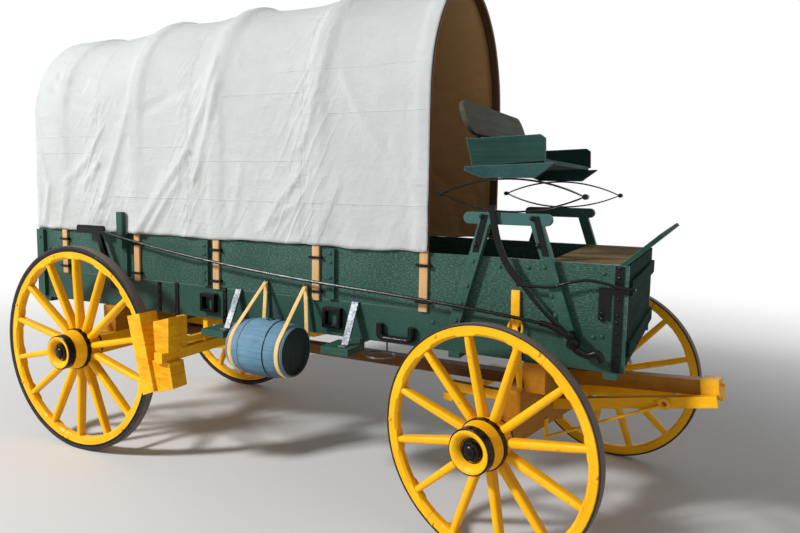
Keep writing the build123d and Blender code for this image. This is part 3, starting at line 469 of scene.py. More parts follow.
# Folds as the cloth hangs: start along and up, end along and up, half width, height.
folds = [
    (-1.2, 1.4, -0.98, 1.69, 0.03, 0.012), (-0.98, 1.69, -0.77, 1.93, 0.034, 0.011),
    (-1.1, 1.43, -0.87, 1.72, 0.024, 0.009), (-0.75, 2.0, -0.63, 2.21, 0.03, 0.01),
    (-0.63, 2.21, -0.57, 2.43, 0.028, 0.008), (-0.72, 1.76, -0.64, 1.97, 0.026, 0.01),
    (-0.64, 1.97, -0.53, 2.31, 0.028, 0.009), (-1.55, 1.58, -1.43, 1.83, 0.03, 0.01),
    (-1.43, 1.83, -1.28, 2.17, 0.034, 0.009), (-1.7, 1.71, -1.57, 1.85, 0.022, 0.008),
    (-1.91, 1.71, -1.7, 1.85, 0.024, 0.007), (-1.7, 1.85, -1.54, 2.05, 0.024, 0.007),
    (-2.06, 2.39, -1.88, 2.28, 0.03, -0.008), (-1.88, 2.28, -1.68, 2.22, 0.03, -0.008),
    (-2.0, 2.47, -1.75, 2.38, 0.034, -0.008), (-0.2, 1.47, -0.07, 1.65, 0.026, 0.008),
    (-0.07, 1.65, 0.05, 1.77, 0.024, 0.008), (-0.11, 1.53, 0.05, 1.64, 0.02, 0.006),
    (0.08, 1.96, 0.15, 2.18, 0.026, 0.007), (0.15, 2.18, 0.2, 2.38, 0.026, 0.006),
    (-1.14, 2.17, -0.96, 2.26, 0.03, -0.006), (-0.96, 2.26, -0.75, 2.32, 0.03, -0.006),
    (-0.38, 2.49, 0.06, 2.51, 0.026, -0.005), (-0.38, 2.4, 0.05, 2.43, 0.022, -0.004),
    (0.31, 2.31, 0.45, 2.06, 0.026, 0.005), (0.45, 2.06, 0.68, 1.75, 0.028, 0.006),
    (0.62, 1.95, 0.8, 1.62, 0.026, 0.005), (-0.45, 1.45, -0.36, 1.8, 0.03, 0.005),
    (0.16, 1.42, 0.3, 1.72, 0.026, 0.006), (-1.95, 1.42, -1.86, 1.75, 0.028, 0.007),
    (-2.12, 1.45, -2.05, 1.69, 0.022, 0.009), (-2.05, 1.69, -2.16, 1.95, 0.02, 0.006),
]
# Pressed creases: height, and from where to where along.
creases = [
    (2.03, -2.2, -1.6), (1.92, -2.2, -1.6), (1.952, -1.2, -0.78), (1.864, -0.78, 0.06), (1.633, -1.6, 0.838),
    (2.241, -0.5, 0.06), (2.119, 0.2, 0.838), (2.36, -0.2, 0.838),
]


def clothSurface():
    # base: uprights joined by half an ellipse, resampled to even steps of its length
    up = np.linspace(cloth["hemZ"], cloth["springZ"], 60)
    t = np.linspace(0, math.pi, 400)[1:-1]
    rise = cloth["baseCrown"] - cloth["springZ"]
    line = np.concatenate([
        np.stack([np.full(60, -cloth["half"]), up], 1),
        np.stack([-cloth["half"] * np.cos(t), cloth["springZ"] + rise * np.sin(t)], 1),
        np.stack([np.full(60, cloth["half"]), up[::-1]], 1),
    ])
    length = np.concatenate([[0], np.cumsum(np.linalg.norm(np.diff(line, axis=0), axis=1))])
    total = length[-1]
    s = np.linspace(0, total, cloth["across"])
    y, z = np.interp(s, length, line[:, 0]), np.interp(s, length, line[:, 1])
    ty, tz = np.gradient(y), np.gradient(z)
    ny, nz = -tz / np.hypot(ty, tz), ty / np.hypot(ty, tz)
    # along: closer steps beside the seams
    u = np.linspace(cloth["rear"], cloth["front"], 1200)
    dense = 1 + sum(1.6 * bell(u - k, 0.05) for k in cloth["seams"])
    ticks = np.concatenate([[0], np.cumsum((dense[1:] + dense[:-1]) / 2)])
    x = np.interp(np.linspace(0, ticks[-1], cloth["along"]), ticks, u)
    gx, gs = np.meshgrid(x, s)
    gy, gz = (np.broadcast_to(v[:, None], gx.shape) for v in (y, z))
    # gx is the way along, gs the way across the cloth, gy and gz the base's own places
    fromHem = np.minimum(gs, total - gs)
    roof = np.clip((gz - cloth["roofFrom"]) / (cloth["baseCrown"] - cloth["roofFrom"]), 0, 1) ** 1.3
    # sag between bows, steepest where the cloth leaves the bow, and a droop behind the last bow
    edges, bowHalf = sorted(cloth["bows"]), cloth["bowHalf"]
    push = np.zeros_like(gx)
    for a, b in zip(edges[:-1], edges[1:]):
        t = np.clip((gx - a - bowHalf) / (b - a - 2 * bowHalf), 0, 1)
        gap = np.clip(np.minimum(gx - a, b - gx) - bowHalf, 0, None)
        push -= (4 * t * (1 - t)) ** 0.8 * (cloth["sag"] * roof + cloth["slack"])
        push -= (1 - bell(gap, 0.05, 1)) * cloth["slack"] * (1 + 2 * np.clip((gz - 1.45) / 0.4, 0, 1))
    t = np.clip((edges[0] - bowHalf - gx) / (edges[0] - bowHalf - cloth["rear"]), 0, 1)
    push -= (3 * t * t - 2 * t ** 3) * cloth["drop"]
    # folds: a smooth ridge round each stroke, fading at its ends and steeper on its lower side;
    # the far side has the same strokes, end for end
    turn = np.where(gy < 0, gx, cloth["front"] + cloth["rear"] - gx)
    raised, sunk = np.zeros_like(gx), np.zeros_like(gx)
    for ax, az, bx, bz, wide, high in folds:
        dx, dz = bx - ax, bz - az
        t = np.clip(((turn - ax) * dx + (gz - az) * dz) / (dx * dx + dz * dz), 0, 1)
        off = ((turn - ax) * dz - (gz - az) * dx) / math.hypot(dx, dz)
        away = np.hypot(turn - ax - t * dx, gz - az - t * dz)
        lean = wide * np.where(off > 0, 0.75, 1.5)
        fold = cloth["foldHeight"] * high * bell(away, lean, 1.6)
        raised, sunk = np.maximum(raised, fold), np.minimum(sunk, fold)
    push += raised + sunk
    # seams: a lapped strip with a stitched line, and small puckers on both sides
    for k, at in enumerate(cloth["seams"]):
        off = gx - at
        push += cloth["lap"] * bell(off - 0.006, 0.01, 4) - cloth["stitch"] * bell(off, 0.006)
        wave = np.sin(gs * 118 + 3 * np.sin(gs * 23 + k) + off * 30) * np.sin(gs * 71 + 2 * k)
        push += cloth["pucker"] * wave * bell(off, 0.065, 1.4)
    # loose ripples at the hem, the hem's own roll, and broad soft unevenness
    ripple = np.sin(gx * 9.4 + 1.3 * np.sin(gx * 3.1)) * np.sin(gx * 21 + 2)
    push += cloth["ripple"] * ripple * bell(fromHem, 0.13, 1)
    push += cloth["hemRoll"] * bell(fromHem - 0.012, 0.01, 4) * (fromHem > 0)
    push += cloth["uneven"] * np.sin(gx * 5.3 + 1.1) * np.sin(gs * 4.1 + 0.6)
    push += 0.0022 * np.sin(gx * 11 + gs * 7) * np.sin(gs * 9 - gx * 4)
    # over a bow the cloth lies on the wood
    clear = np.clip(np.min(np.abs(gx[..., None] - np.array(edges)), 2) - bowHalf, 0, None)
    push = np.where(push < 0, push * (1 - bell(clear, 0.03)), push)
    # the bows aren't all of one height: above the spring line each height is scaled to its own crown
    crownAt = np.interp(gx, [cloth["rear"]] + edges + [cloth["front"]],
                        [cloth["rearCrown"]] + cloth["crowns"][::-1] + cloth["crowns"][:1])
    height = gz + nz[:, None] * push
    scaled = (height - cloth["springZ"]).clip(0, None) * ((crownAt - cloth["springZ"]) / rise - 1)
    wavy = cloth["hemWave"] * np.sin(gx * 8.9 + 0.7) * np.sin(gx * 3.3 + 0.2)
    height = height + scaled + (wavy + 0.002 * np.sin(gx * 31)) * bell(fromHem, 0.09, 1)
    return np.stack([gx, gy + ny[:, None] * push, height], 2), gs, gx, total


# the cloth as one open grid, with its UVs as it lies flat
clothPoints, clothS, clothX, clothLength = clothSurface()
quads = gridQuads(cloth["across"], cloth["along"], False, False)[2]
flat = np.stack([clothX.ravel(), clothS.ravel()], 1)
clothShape = {"points": clothPoints.reshape(-1, 3), "quads": quads, "uv": flat[quads], "caps": []}


# Bows: bent strips whose legs stand outside the walls.
bowSizes = {"halfWide": 0.5455, "foot": 1.09, "wide": 0.048, "thick": 0.015, "underCloth": 0.007}
bowShapes = []
for x, crown in zip(cloth["bows"], cloth["crowns"]):
    t = np.linspace(0, math.pi, 61)
    top = crown - bowSizes["thick"] / 2 - bowSizes["underCloth"] - cloth["springZ"]
    legs = np.linspace(bowSizes["foot"], cloth["springZ"], 12)[:-1]
    y = np.concatenate([np.full(11, -1.0), -np.cos(t), np.full(11, 1.0)]) * bowSizes["halfWide"]
    z = np.concatenate([legs, cloth["springZ"] + top * np.sin(t), legs[::-1]])
    path = np.stack([np.full(len(y), x), y, z], 1)
    bowShapes.append(carried(path, rounded(bowSizes["thick"], bowSizes["wide"], 0.0035), (1, 0, 0)))
# above 1.4 m, under the cloth, the bows turn dark brown: darker stained wood there, and painted shade
bowWood = paintedWood(
    "bowWood", greenLook, grain=(2.0, 60.0, 1.0), source="UV", dark=(0.5, 0.27, 0.11),
    base=(0.68, 0.42, 0.19), pale=(0.76, 0.52, 0.27), bare=(0.55, 0.34, 0.2), grime=(0.3, 0.14, 0.07),
    rough=0.5, wear=0.4, deep=0.001, stainFrom=1.4, stain=(0.06, 0.026, 0.01))
bowPiece = lay("bent_bows", bowShapes, bowWood, sharp=40)
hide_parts("bows")


canvas = {
    "weave": 260.0, "deep": 0.0075, "rough": 0.86, "sheen": 0.15, "thread": (0.2, 0.2, 0.19),
    "wrinkles": 0.95, "outside": (0.64, 0.665, 0.66), "outsideStain": (0.54, 0.55, 0.525),
    # inside, the same cloth gets an orange tan: painted warm shade under the cover
    "inside": (0.8, 0.47, 0.2), "insideStainInShade": (0.62, 0.34, 0.13),
}


# Duck canvas: a weave along the cloth's own UVs, blotches, small crumples and, outside, drawn wrinkles.
def canvasFinish(name, base, stain, crease):
    made = Finish(name)
    uv = made.node("ShaderNodeTexCoord", None, None, "UV")
    body = made.place((1, 1, 1))
    weave = {"Vector": uv, "Scale": canvas["weave"], "Distortion": 1.2, "Detail": 1.0}
    across, down = (made.node("ShaderNodeTexWave", {"bands_direction": way}, weave) for way in "XY")
    blot = made.noise(body, 2.2, 6.0, 0.6)
    small = made.noise(made.place((22, 22, 9)), 1.0, 6.0, 0.62)
    crush = made.noise(made.place((5, 5, 14)), 1.0, 6.0, 0.58)
    drawn = made.noise(made.place((9, 9, 3)), 1.0, 4.0, 0.5)
    shade = made.mix(made.step(blot, 0.46, 0.8) * 0.55, base, stain)
    shade = made.mix(made.step(small, 0.6, 0.8) * 0.25, shade, stain)
    height = across * 0.05 + down * 0.05 + small * 0.45 + crush * 1.5 + drawn * 1.2
    if crease:
        along, high = made.part(body, 0), made.part(body, 2)
        # drawn wrinkles: noise stretched down the slant, ridged, strongest beside the seams and low down
        slant = made.node("ShaderNodeMapping", None, {"Vector": body, "Rotation": (0, -cloth["slant"], 0)})
        slant = made.node("ShaderNodeMapping", None, {"Vector": slant, "Scale": (13.0, 3.0, 2.3)})
        wander = made.noise(slant, 1.0, 2.0, 0.45)
        ridge = 1 - made.node("ShaderNodeMath", {"operation": "ABSOLUTE"}, {0: wander * 6.0 - 3.0})
        where = made.step(high, 2.3, 1.45) * 0.22 + 0.08
        for seam in cloth["seams"]:
            where = where + made.peak(along, seam, 0.15) * 0.55
        height = height + made.step(ridge, 0.0, 1.0) ** 1.5 * where * canvas["wrinkles"]
        for z, a, b in creases:
            line = made.peak(high + made.noise(body, 3.0, 2.0, 0.5) * 0.012 - 0.006, z, 0.0028)
            inside = made.step(along, a - 0.04, a + 0.02) * made.step(along, b + 0.04, b - 0.02)
            height = height + line * inside * made.step(small, 0.25, 0.62) * 0.45
        for seam in cloth["seams"]:
            thread = made.peak(along, seam, 0.0021) * made.step(small, 0.2, 0.5) * 0.55
            shade = made.mix(thread, shade, canvas["thread"])
    made.set(Base_Color=shade, Roughness=canvas["rough"], Specular_IOR_Level=0.25,
             Sheen_Weight=canvas["sheen"], Normal=made.bump(height, canvas["deep"]))
    return made.material


canvasOut = canvasFinish("canvasOutside", canvas["outside"], canvas["outsideStain"], True)
# the inside's tan colour is painted warm shade
canvasIn = canvasFinish("canvasInsideWarmShade", canvas["inside"], canvas["insideStainInShade"], False)
clothPiece = lay("canvas_top", [clothShape], canvasOut, sharp=60, isOpen=True)
clothPiece.data.materials.append(canvasIn)
solid = clothPiece.modifiers.new("thickness", "SOLIDIFY")
solid.thickness = cloth["thick"]
solid.offset = -1
solid.material_offset = 1
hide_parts("canvas_cover")
print("cloth laid", round(float(clothLength), 3))

# Wheels: hub, felloes with their joints, and spokes that thin towards the rim.
wheelKinds = {
    "front": {"spokes": 12, "first": 12, "hub": 0.119, "tyre": 0.009, "felloe": 0.05, "band": 0.0,
              "tip": (0.015, 0.0205), "axle": "front_gear", "turn": math.radians(wagon["steerDeg"])},
    "rear": {"spokes": 14, "first": 0, "hub": 0.128, "tyre": 0.02, "felloe": 0.062, "band": 0.016,
             "tip": (0.017, 0.0235), "axle": "wagon", "turn": 0.0},
}
wheels = [dict(kind, name=end + "_" + hand, body=end[0] + hand[0] + "_wheel", side=side)
          for end, kind in wheelKinds.items() for hand, side in (("right", -1), ("left", 1))]
wheelSizes = {
    "tyreWide": 0.056, "felloeWide": 0.053, "dish": 0.022, "bore": 0.0352, "hubIn": -0.118, "hubOut": 0.146,
    "recess": 0.044, "chamfer": 0.013, "plain": 0.004, "arris": 0.003, "grooveDeep": 0.0024,
    "plainTurn": 0.085, "runOut": 0.03,  # angles beside a spoke: without a chamfer, and until it is full
}
rivet = domeShape(0.0095, 0.008)


def apartFrom(angles, places):
    # the angle from each of the angles to the nearest of the places, the short way round
    return np.min(np.abs((angles[:, None] - places[None] + math.pi) % (2 * math.pi) - math.pi), 1)


for wheel in wheels:
    name, body = wheel["name"], wheel["body"]
    lo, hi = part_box("tyre_" + name)
    centre = (np.array(lo) + np.array(hi)) / 2
    radius = (hi.z - lo.z) / 2
    out = np.array([-math.sin(wheel["turn"]), math.cos(wheel["turn"]), 0.0]) * wheel["side"]
    upright = np.array([0.0, 0.0, 1.0])
    around = np.cross(out, upright)
    w = wheelSizes
    hub, count = wheel["hub"], wheel["spokes"]
    outer = radius - wheel["tyre"]
    inner = outer - wheel["felloe"]
    half = w["felloeWide"] / 2
    # felloe ring: grooves at its joints, and inner edges chamfered between the spokes
    spokeAt = np.radians(wheel["first"] + 360 / count * np.arange(count))
    joints = spokeAt[::2] + math.pi / count
    nick = np.array([-0.012, -0.0036, -0.0018, 0, 0.0018, 0.0036, 0.012])
    stops = np.array([-1, 1]) * [[w["plainTurn"]], [w["plainTurn"] + w["runOut"]]]
    t = np.sort(np.concatenate([evenAngles(72) + 0.003, (joints[:, None] + nick).ravel(),
                                (spokeAt[:, None] + stops.ravel()).ravel()]) % (2 * math.pi))
    groove = np.clip(1 - apartFrom(t, joints) / 0.003, 0, 1) * w["grooveDeep"]
    full = np.clip((apartFrom(t, spokeAt) - w["plainTurn"]) / w["runOut"], 0, 1)
    c = w["plain"] + (w["chamfer"] - w["plain"]) * full
    e, lowR, highR, side = w["arris"], inner + groove, np.full_like(groove, outer), half - groove
    # half of the section, from its outer arris to the middle of its inner face, then the mirrored half
    outerHalf = [(highR, side - e), (highR - e, side), ((highR + lowR) / 2, side), (lowR + c, side),
                 (lowR + c * 0.25, side - c * 0.75 + 0.0005), (lowR, side - c)]
    innerHalf = [(r, -a) for r, a in outerHalf[::-1]]
    section = np.stack([np.stack(p, 1) for p in outerHalf + [(lowR, np.zeros_like(c))] + innerHalf], 1)
    spokeDir = roundFrom(t, upright, around)
    shapes = [ringShape(centre + section[..., :1] * spokeDir[:, None] + section[..., 1:] * out, True)]
    # spokes: squarish and deep along the axle, with a low ridge on the outer face, thinner at the rim
    q = evenAngles(28)
    thinSide = np.sign(np.sin(q)) * np.abs(np.sin(q)) ** 0.52
    deepSide = np.sign(np.cos(q)) * np.abs(np.cos(q)) ** 0.42
    deepSide = np.where(deepSide > 0, deepSide * (1.04 - 0.16 * np.abs(thinSide)), deepSide)
    s = np.array([0, 0.05, 0.12, 0.22, 0.36, 0.5, 0.66, 0.78, 0.86, 0.92, 0.96, 1.0])
    knots = [0, 0.12, 0.5, 0.8, 0.93, 1]
    thin = np.interp(s, knots, [0.02, 0.0205, 0.019, 0.018, 0.0165, wheel["tip"][0]])
    deep = np.interp(s, knots, [0.029, 0.0285, 0.027, 0.0262, 0.0235, wheel["tip"][1]])
    for a in spokeAt:
        radial = upright * math.cos(a) + around * math.sin(a)
        root = centre + radial * (hub - 0.016) - out * w["dish"]
        end = centre + radial * (inner + 0.01)
        length = unit(end - root)
        thinDir = np.cross(length, out)
        deepDir = unit(np.cross(thinDir, length))
        deepDir = deepDir * np.sign(deepDir @ out)
        path = root + (end - root) * s[:, None]
        shapes.append(ringShape(path[:, None] + np.outer(thin, thinSide)[..., None] * thinDir
                                + np.outer(deep, deepSide)[..., None] * deepDir))
    # hub: turned, with a flared and hollowed outer end
    foot, mouth = w["hubIn"], w["hubOut"] - w["recess"]
    profile = [
        (w["bore"], foot), (0.08, foot), (0.086, foot + 0.006), (hub - 0.012, -0.068), (hub - 0.003, -0.054),
        (hub, -0.047), (hub, 0.006), (hub - 0.003, 0.012), (hub - 0.003, 0.034), (hub - 0.004, 0.04),
        (hub - 0.008, 0.062), (0.105, 0.096), (0.1015, 0.124), (0.101, 0.14), (0.099, 0.1455), (0.094, 0.147),
        (0.087, 0.1455), (0.078, 0.14), (0.069, 0.131), (0.062, 0.12), (0.058, 0.11), (0.052, mouth),
        (w["bore"], mouth),
    ]
    shapes.append(turned(profile, centre, out, 64, True))
    piece = lay("wood_" + name, shapes, yellowWheel, body, 38)
    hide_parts("wheel_" + name)
    # tyre: a flat hoop with rounded arrises
    band = rounded(wheel["tyre"], w["tyreWide"], 0.0032)
    hoop = turned(np.stack([radius - wheel["tyre"] / 2 + band[:, 0], band[:, 1]], 1), centre, out, 128, True)
    tyre = lay("hoop_" + name, [hoop], tyreIron, body)
    tyre.data.materials.append(treadIron)
    isTread = (band[:, 0] + np.roll(band[:, 0], -1)) / 2 > wheel["tyre"] / 2 - 0.0006
    tyre.data.polygons.foreach_set("material_index", np.repeat(isTread, 128).astype(np.int32))
    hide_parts("tyre_" + name)
    # black bands and the black floor of the hub's mouth: steps round the axle, then the profile
    profiles = [
        (64, [(hub - 0.004, 0.003), (hub + 0.0032, 0.004), (hub + 0.0032, 0.029), (hub - 0.002, 0.031),
              (hub - 0.012, 0.031), (hub - 0.012, 0.003)]),
        (64, [(0.098, 0.097), (0.1085, 0.098), (0.1068, 0.1405), (0.104, 0.1425), (0.098, 0.1425)]),
        (64, [(0.08, -0.112), (0.0925, -0.111), (0.1, -0.09), (0.09, -0.088)]),
        (48, [(0.0455, 0.102), (0.0575, 0.102), (0.06, 0.1135), (0.059, 0.114), (0.056, 0.1045),
              (0.0455, 0.1045)]),
    ]
    if wheel["band"]:
        low, edge = outer - wheel["band"], half + 0.0008
        profiles.append((128, [(low, -edge), (outer - 0.001, -edge), (outer - 0.001, edge), (low, edge),
                               (low - 0.0004, half - 0.001), (low - 0.0004, 0.001 - half)]))
    bands = [turned(profile, centre, out, steps, True) for steps, profile in profiles]
    lay("bands_" + name, bands, blackIron, body)
    # felloe bolts beside each joint, on both faces
    at = joints + 0.062
    spots = centre + (outer - wheel["band"] - 0.011) * roundFrom(at, upright, around)
    faces = [repeated(rivet, spots + way * (half - 0.001), way) for way in (out, -out)]
    lay("rivets_" + name, faces, yellowWheel, body)
    # black cap over the axle's nut: it stays on the axle's own body
    cap = turned([(0.044, 0.1035), (0.044, 0.1285), (0.0425, 0.131), (0.033, 0.1315), (0.032, 0.13),
                  (0.0285, 0.13), (0.028, 0.137), (0.024, 0.141), (0.015, 0.144), (0.004, 0.145)],
                 centre, out, 40)
    lay("axle_cap_" + name, [cap], blackIron, wheel["axle"])
print("wheels laid")

# Cask: staves with their joints, iron hoops, a dark head inside the rim at each end.
cask = {
    "centre": (-0.036, -0.728, 0.834), "length": 0.376, "bilge": 0.16, "end": 0.134, "staves": 18,
    "jointDeep": 0.0016, "jointHalf": 0.012, "shadeFrom": 0.8, "shadeTo": 0.7,
}
staveAngles = evenAngles(cask["staves"])
t = np.sort((staveAngles[:, None] + np.array([-0.02, -0.008, 0, 0.008, 0.02, 0.09, 0.175, 0.26])).ravel())
groove = np.clip(1 - apartFrom(t, staveAngles) / cask["jointHalf"], 0, 1) * cask["jointDeep"]
h = cask["length"] / 2


def bulgeAt(x):
    # the cask's radius at a distance from its middle: a parabola from end to end
    return cask["end"] + (cask["bilge"] - cask["end"]) * (1 - (x / h) ** 2)


xs = np.linspace(-h, h, 25)
inside = [(cask["end"] - 0.004, h + 0.0004), (cask["end"] - 0.01, h - 0.022)]
profile = np.concatenate([np.array(inside[::-1]) * [1, -1], np.stack([bulgeAt(xs), xs], 1), np.array(inside)])
depth = np.concatenate([np.zeros(2), np.ones(25), np.zeros(2)])
centre = np.array(cask["centre"])
spin = roundFrom(t, (0, 0, 1), (0, 1, 0))
radii = profile[:, :1] - depth[:, None] * groove
caskBody = ringShape(centre + radii[..., None] * spin + profile[:, 1:, None] * np.array([1.0, 0, 0]))
# the staves darken towards the bottom through shadeLow: painted shade
kegBlue = paintedWood(
    "caskStaves", greenLook, grain=(3.0, 60.0, 60.0), blot=7.0, dark=(0.075, 0.175, 0.275),
    base=(0.115, 0.245, 0.35), pale=(0.19, 0.34, 0.43), fade=0.6, bare=(0.34, 0.42, 0.42), wearFrom=1.3,
    grime=(0.024, 0.04, 0.055), rough=0.5, deep=0.0016, shadeLow=(cask["shadeTo"], cask["shadeFrom"]))
kegHead = paintedWood(
    "caskHeads", greenLook, grain=(46.0, 46.0, 2.0), dark=(0.01, 0.02, 0.018), base=(0.018, 0.034, 0.03),
    pale=(0.03, 0.05, 0.045), bare=(0.05, 0.07, 0.06), rough=0.55)
staves = lay("cask_staves", [caskBody], kegBlue, sharp=30)
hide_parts("keg")
headShapes = [turned([(0.1305, -0.03), (0.1305, 0.0), (0.129, 0.001), (0.1245, 0.0008), (0.1225, -0.002),
                      (0.1215, -0.0165), (0.118, -0.0175), (0.01, -0.017)], centre + [s * h, 0, 0],
                     (s, 0, 0), 54) for s in (-1, 1)]
lay("cask_heads", headShapes, kegHead)


def hoopAt(x, wide, thick):
    # a flat hoop that lies on the bulge of the staves
    a, b = x - wide / 2, x + wide / 2
    ra, rb = bulgeAt(a), bulgeAt(b)
    return turned([(ra - 0.002, a), (ra + thick, a + 0.001), (rb + thick, b - 0.001), (rb - 0.002, b)],
                  centre, (1, 0, 0), 72, True)


hoopBlue = ironFinish("caskHoops", (0.095, 0.205, 0.3), (0.26, 0.15, 0.1), 0.45, 0.8)
hoops = [hoopAt(x, wide, 0.0022) for x, wide in ((-0.172, 0.024), (0.172, 0.024), (-0.098, 0.018))]
lay("cask_hoops", hoops, hoopBlue)
lay("cask_wire_hoop", [hoopAt(0.078, 0.007, 0.0025)], blackIron)
bung = turned([(0.024, -0.004), (0.024, 0.0015), (0.017, 0.003), (0.016, -0.003), (0.004, -0.003)],
              centre + [0.02, 0, cask["bilge"]], (0, 0, 1), 24)
lay("cask_bung_ring", [bung], blackIron)
# Slings: a closed flat strap from a hook on the wall round the cask, straight where it hangs free.
sling = {
    "hook": (-0.552, 1.169), "top": [-0.188, 0.088], "low": [-0.186, 0.124], "wide": 0.025, "thick": 0.0042,
}
slingShapes = []
for xTop, xLow in zip(sling["top"], sling["low"]):
    radius = bulgeAt(xLow - centre[0]) + sling["thick"] / 2
    hook = np.array([xTop, *sling["hook"]])
    away = hook[1:] - centre[1:]
    first, opening = math.atan2(away[1], away[0]), math.acos(radius / np.linalg.norm(away))
    turnBy = np.linspace(first + opening, first - opening + 2 * math.pi, 48)
    arc = roundFrom(turnBy, (0, radius, 0), (0, 0, radius)) + [xLow, *centre[1:]]
    path = np.concatenate([np.linspace(hook, arc[0], 16)[:-1], arc, np.linspace(arc[-1], hook, 16)[1:-1]])
    slingShapes.append(carried(path, rounded(sling["thick"], sling["wide"], 0.0014), (1, 0, 0), closed=True))
slingPiece = lay("cask_slings", slingShapes, slingFinish)
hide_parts("keg_slings")
hooks = [bar((x, -0.53, 1.168), (x, -0.562, 1.172), 0.01, 0.01, (1, 0, 0), 0.003) for x in sling["top"]]
lay("sling_hooks", hooks, greyIron)
print("cask laid")

# Bolts and rivets on the walls, the seat legs and the irons. Rows are along and up, on both sides.
face = wagon["halfBox"]
proud = {"leg": 0.04, "cleat": 0.022, "riser": 0.045, "strap": 0.006, "corner": 0.008}
wallBolts = [
    (1.213, 1.35), (1.356, 1.357), (0.867, 1.039), (1.704, 1.354), (1.375, 1.216), (1.668, 1.056),
    (1.707, 1.064), (1.702, 0.969),
]
legBolts = [
    (1.089, 1.374), (1.062, 1.25), (1.032, 1.161), (1.006, 1.069), (1.441, 1.368), (1.479, 1.235),
    (1.502, 1.146), (1.545, 1.062),
]
bareCleat = -1.341  # this cleat shows no bolts on the right
cleatBolts = {
    -2.188: (1.33, 1.18), bareCleat: (1.308, 1.22, 1.13), -0.649: (1.352, 1.3, 1.19, 1.14),
    0.256: (1.36, 1.31, 1.225, 1.16),
}
besideCleats = [
    (-2.118, 1.252), (-2.118, 1.12), (-1.372, 1.28), (-0.688, 1.33), (-0.688, 1.175), (0.214, 1.34),
    (0.214, 1.215), (-2.118, 0.97), (-1.372, 0.96), (-0.688, 0.965), (0.214, 0.96),
]
riserBolts = [(1.13, 1.594), (1.102, 1.454), (1.376, 1.592), (1.408, 1.466)]
cornerRivets = [1.382, 1.337, 1.29, 1.24, 1.169, 1.135, 1.083, 1.04, 0.985, 0.935]
postRivets = [(-0.509, 0.9, 1.085), (-1.051, 0.92, 1.08)]  # along, lowest and highest
green, black, strapRivets = [], [], []


def onSide(side, out, spots):
    # places on one side of the box that stand out from its face, with the way they face
    return [((x, side * (face + out), z), (0, side, 0)) for x, z in spots]


for side in (-1, 1):
    cleats = [(x, z) for x, rows in cleatBolts.items() for z in rows if side > 0 or x != bareCleat]
    green += onSide(side, 0, wallBolts + besideCleats) + onSide(side, proud["leg"], legBolts)
    green += onSide(side, proud["cleat"], cleats)
    black += onSide(side, proud["riser"], riserBolts)
    rivets = [(1.772, z) for z in cornerRivets]
    rivets += [(x, z) for x, low, high in postRivets for z in np.linspace(low, high, 4)]
    strapRivets += onSide(side, proud["strap"], rivets)
black += onSide(-1, proud["corner"], [(1.704, z) for z in (1.172, 1.146)])


def studs(name, rows, radius, high, finish):
    # one bolt's head at each row's place, facing its way
    shape = domeShape(radius, high)
    lay(name, [repeated(shape, [p for p, n in rows], [n for p, n in rows])], finish)


# A yellow hasp with its ring on the right wall, and the ring that hangs below the box.
hasp = [
    bar((1.3, -0.546, 1.245), (1.306, -0.556, 1.07), 0.044, 0.008, (0, -1, 0), 0.003),
    bar((1.296, -0.552, 1.08), (1.345, -0.552, 0.77), 0.04, 0.01, (0, -1, 0), 0.004),
]
q = evenAngles(40)
link = roundFrom(q, (0.034, 0, 0), (0, 0, 0.046)) + (1.31, -0.566, 1.064)
hasp.append(carried(link, circle(0.0055), (0, -1, 0), closed=True))
lay("yellow_hasp", hasp, yellowIron)
low = roundFrom(q, (0.077, 0, 0), (0, 0.077, 0)) + (0.545, -0.5, 0.816)
drop = [(0.545, -0.423, z) for z in (0.905, 0.86, 0.816)]
ringParts = [carried(low, circle(0.005), closed=True), carried(drop, circle(0.005), (0, 1, 0))]
lay("hanging_ring", ringParts, greyIron)

# Brake lever, foot rod and crank. Each line is a row of points along and up, then width and thickness.
brake = {"leverY": -0.595, "crankY": -0.611, "hubY": -0.577}
leverLines = [
    ([(1.182, 1.648), (1.198, 1.56), (1.222, 1.468), (1.266, 1.372), (1.338, 1.282)], 0.034, 0.012, "leverY"),
    ([(1.33, 1.29), (1.39, 1.226), (1.445, 1.168), (1.508, 1.11), (1.575, 1.052)], 0.018, 0.01, "leverY"),
    ([(1.315, 1.277), (1.474, 1.28), (1.559, 1.308), (1.639, 1.324), (1.713, 1.318), (1.778, 1.302),
      (1.849, 1.298)], 0.014, 0.014, "leverY"),
    ([(1.436, 1.112), (1.48, 1.104), (1.53, 1.084), (1.585, 1.052)], 0.026, 0.024, "crankY"),
    ([(1.578, 1.066), (1.6, 1.014), (1.656, 0.986), (1.704, 0.999), (1.727, 0.962)], 0.033, 0.03, "crankY"),
]
leverShapes = []
for points, wide, thick, at in leverLines:
    path = smoothLine([(x, brake[at], z) for x, z in points], 30)
    leverShapes.append(carried(path, rounded(wide, thick, min(wide, thick) * 0.42), (0, -1, 0)))
for x, z, radius in ((1.592, 1.032, 0.028), (1.58, 1.068, 0.019)):
    profile = [(radius, 0.0), (radius, 0.048), (radius * 0.85, 0.054), (radius * 0.45, 0.055),
               (radius * 0.4, 0.063)]
    leverShapes.append(turned(profile, (x, brake["hubY"], z), (0, -1, 0), 32))
leverPiece = lay("brake_hand_lever", leverShapes, blackIron)
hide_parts("brake_lever")

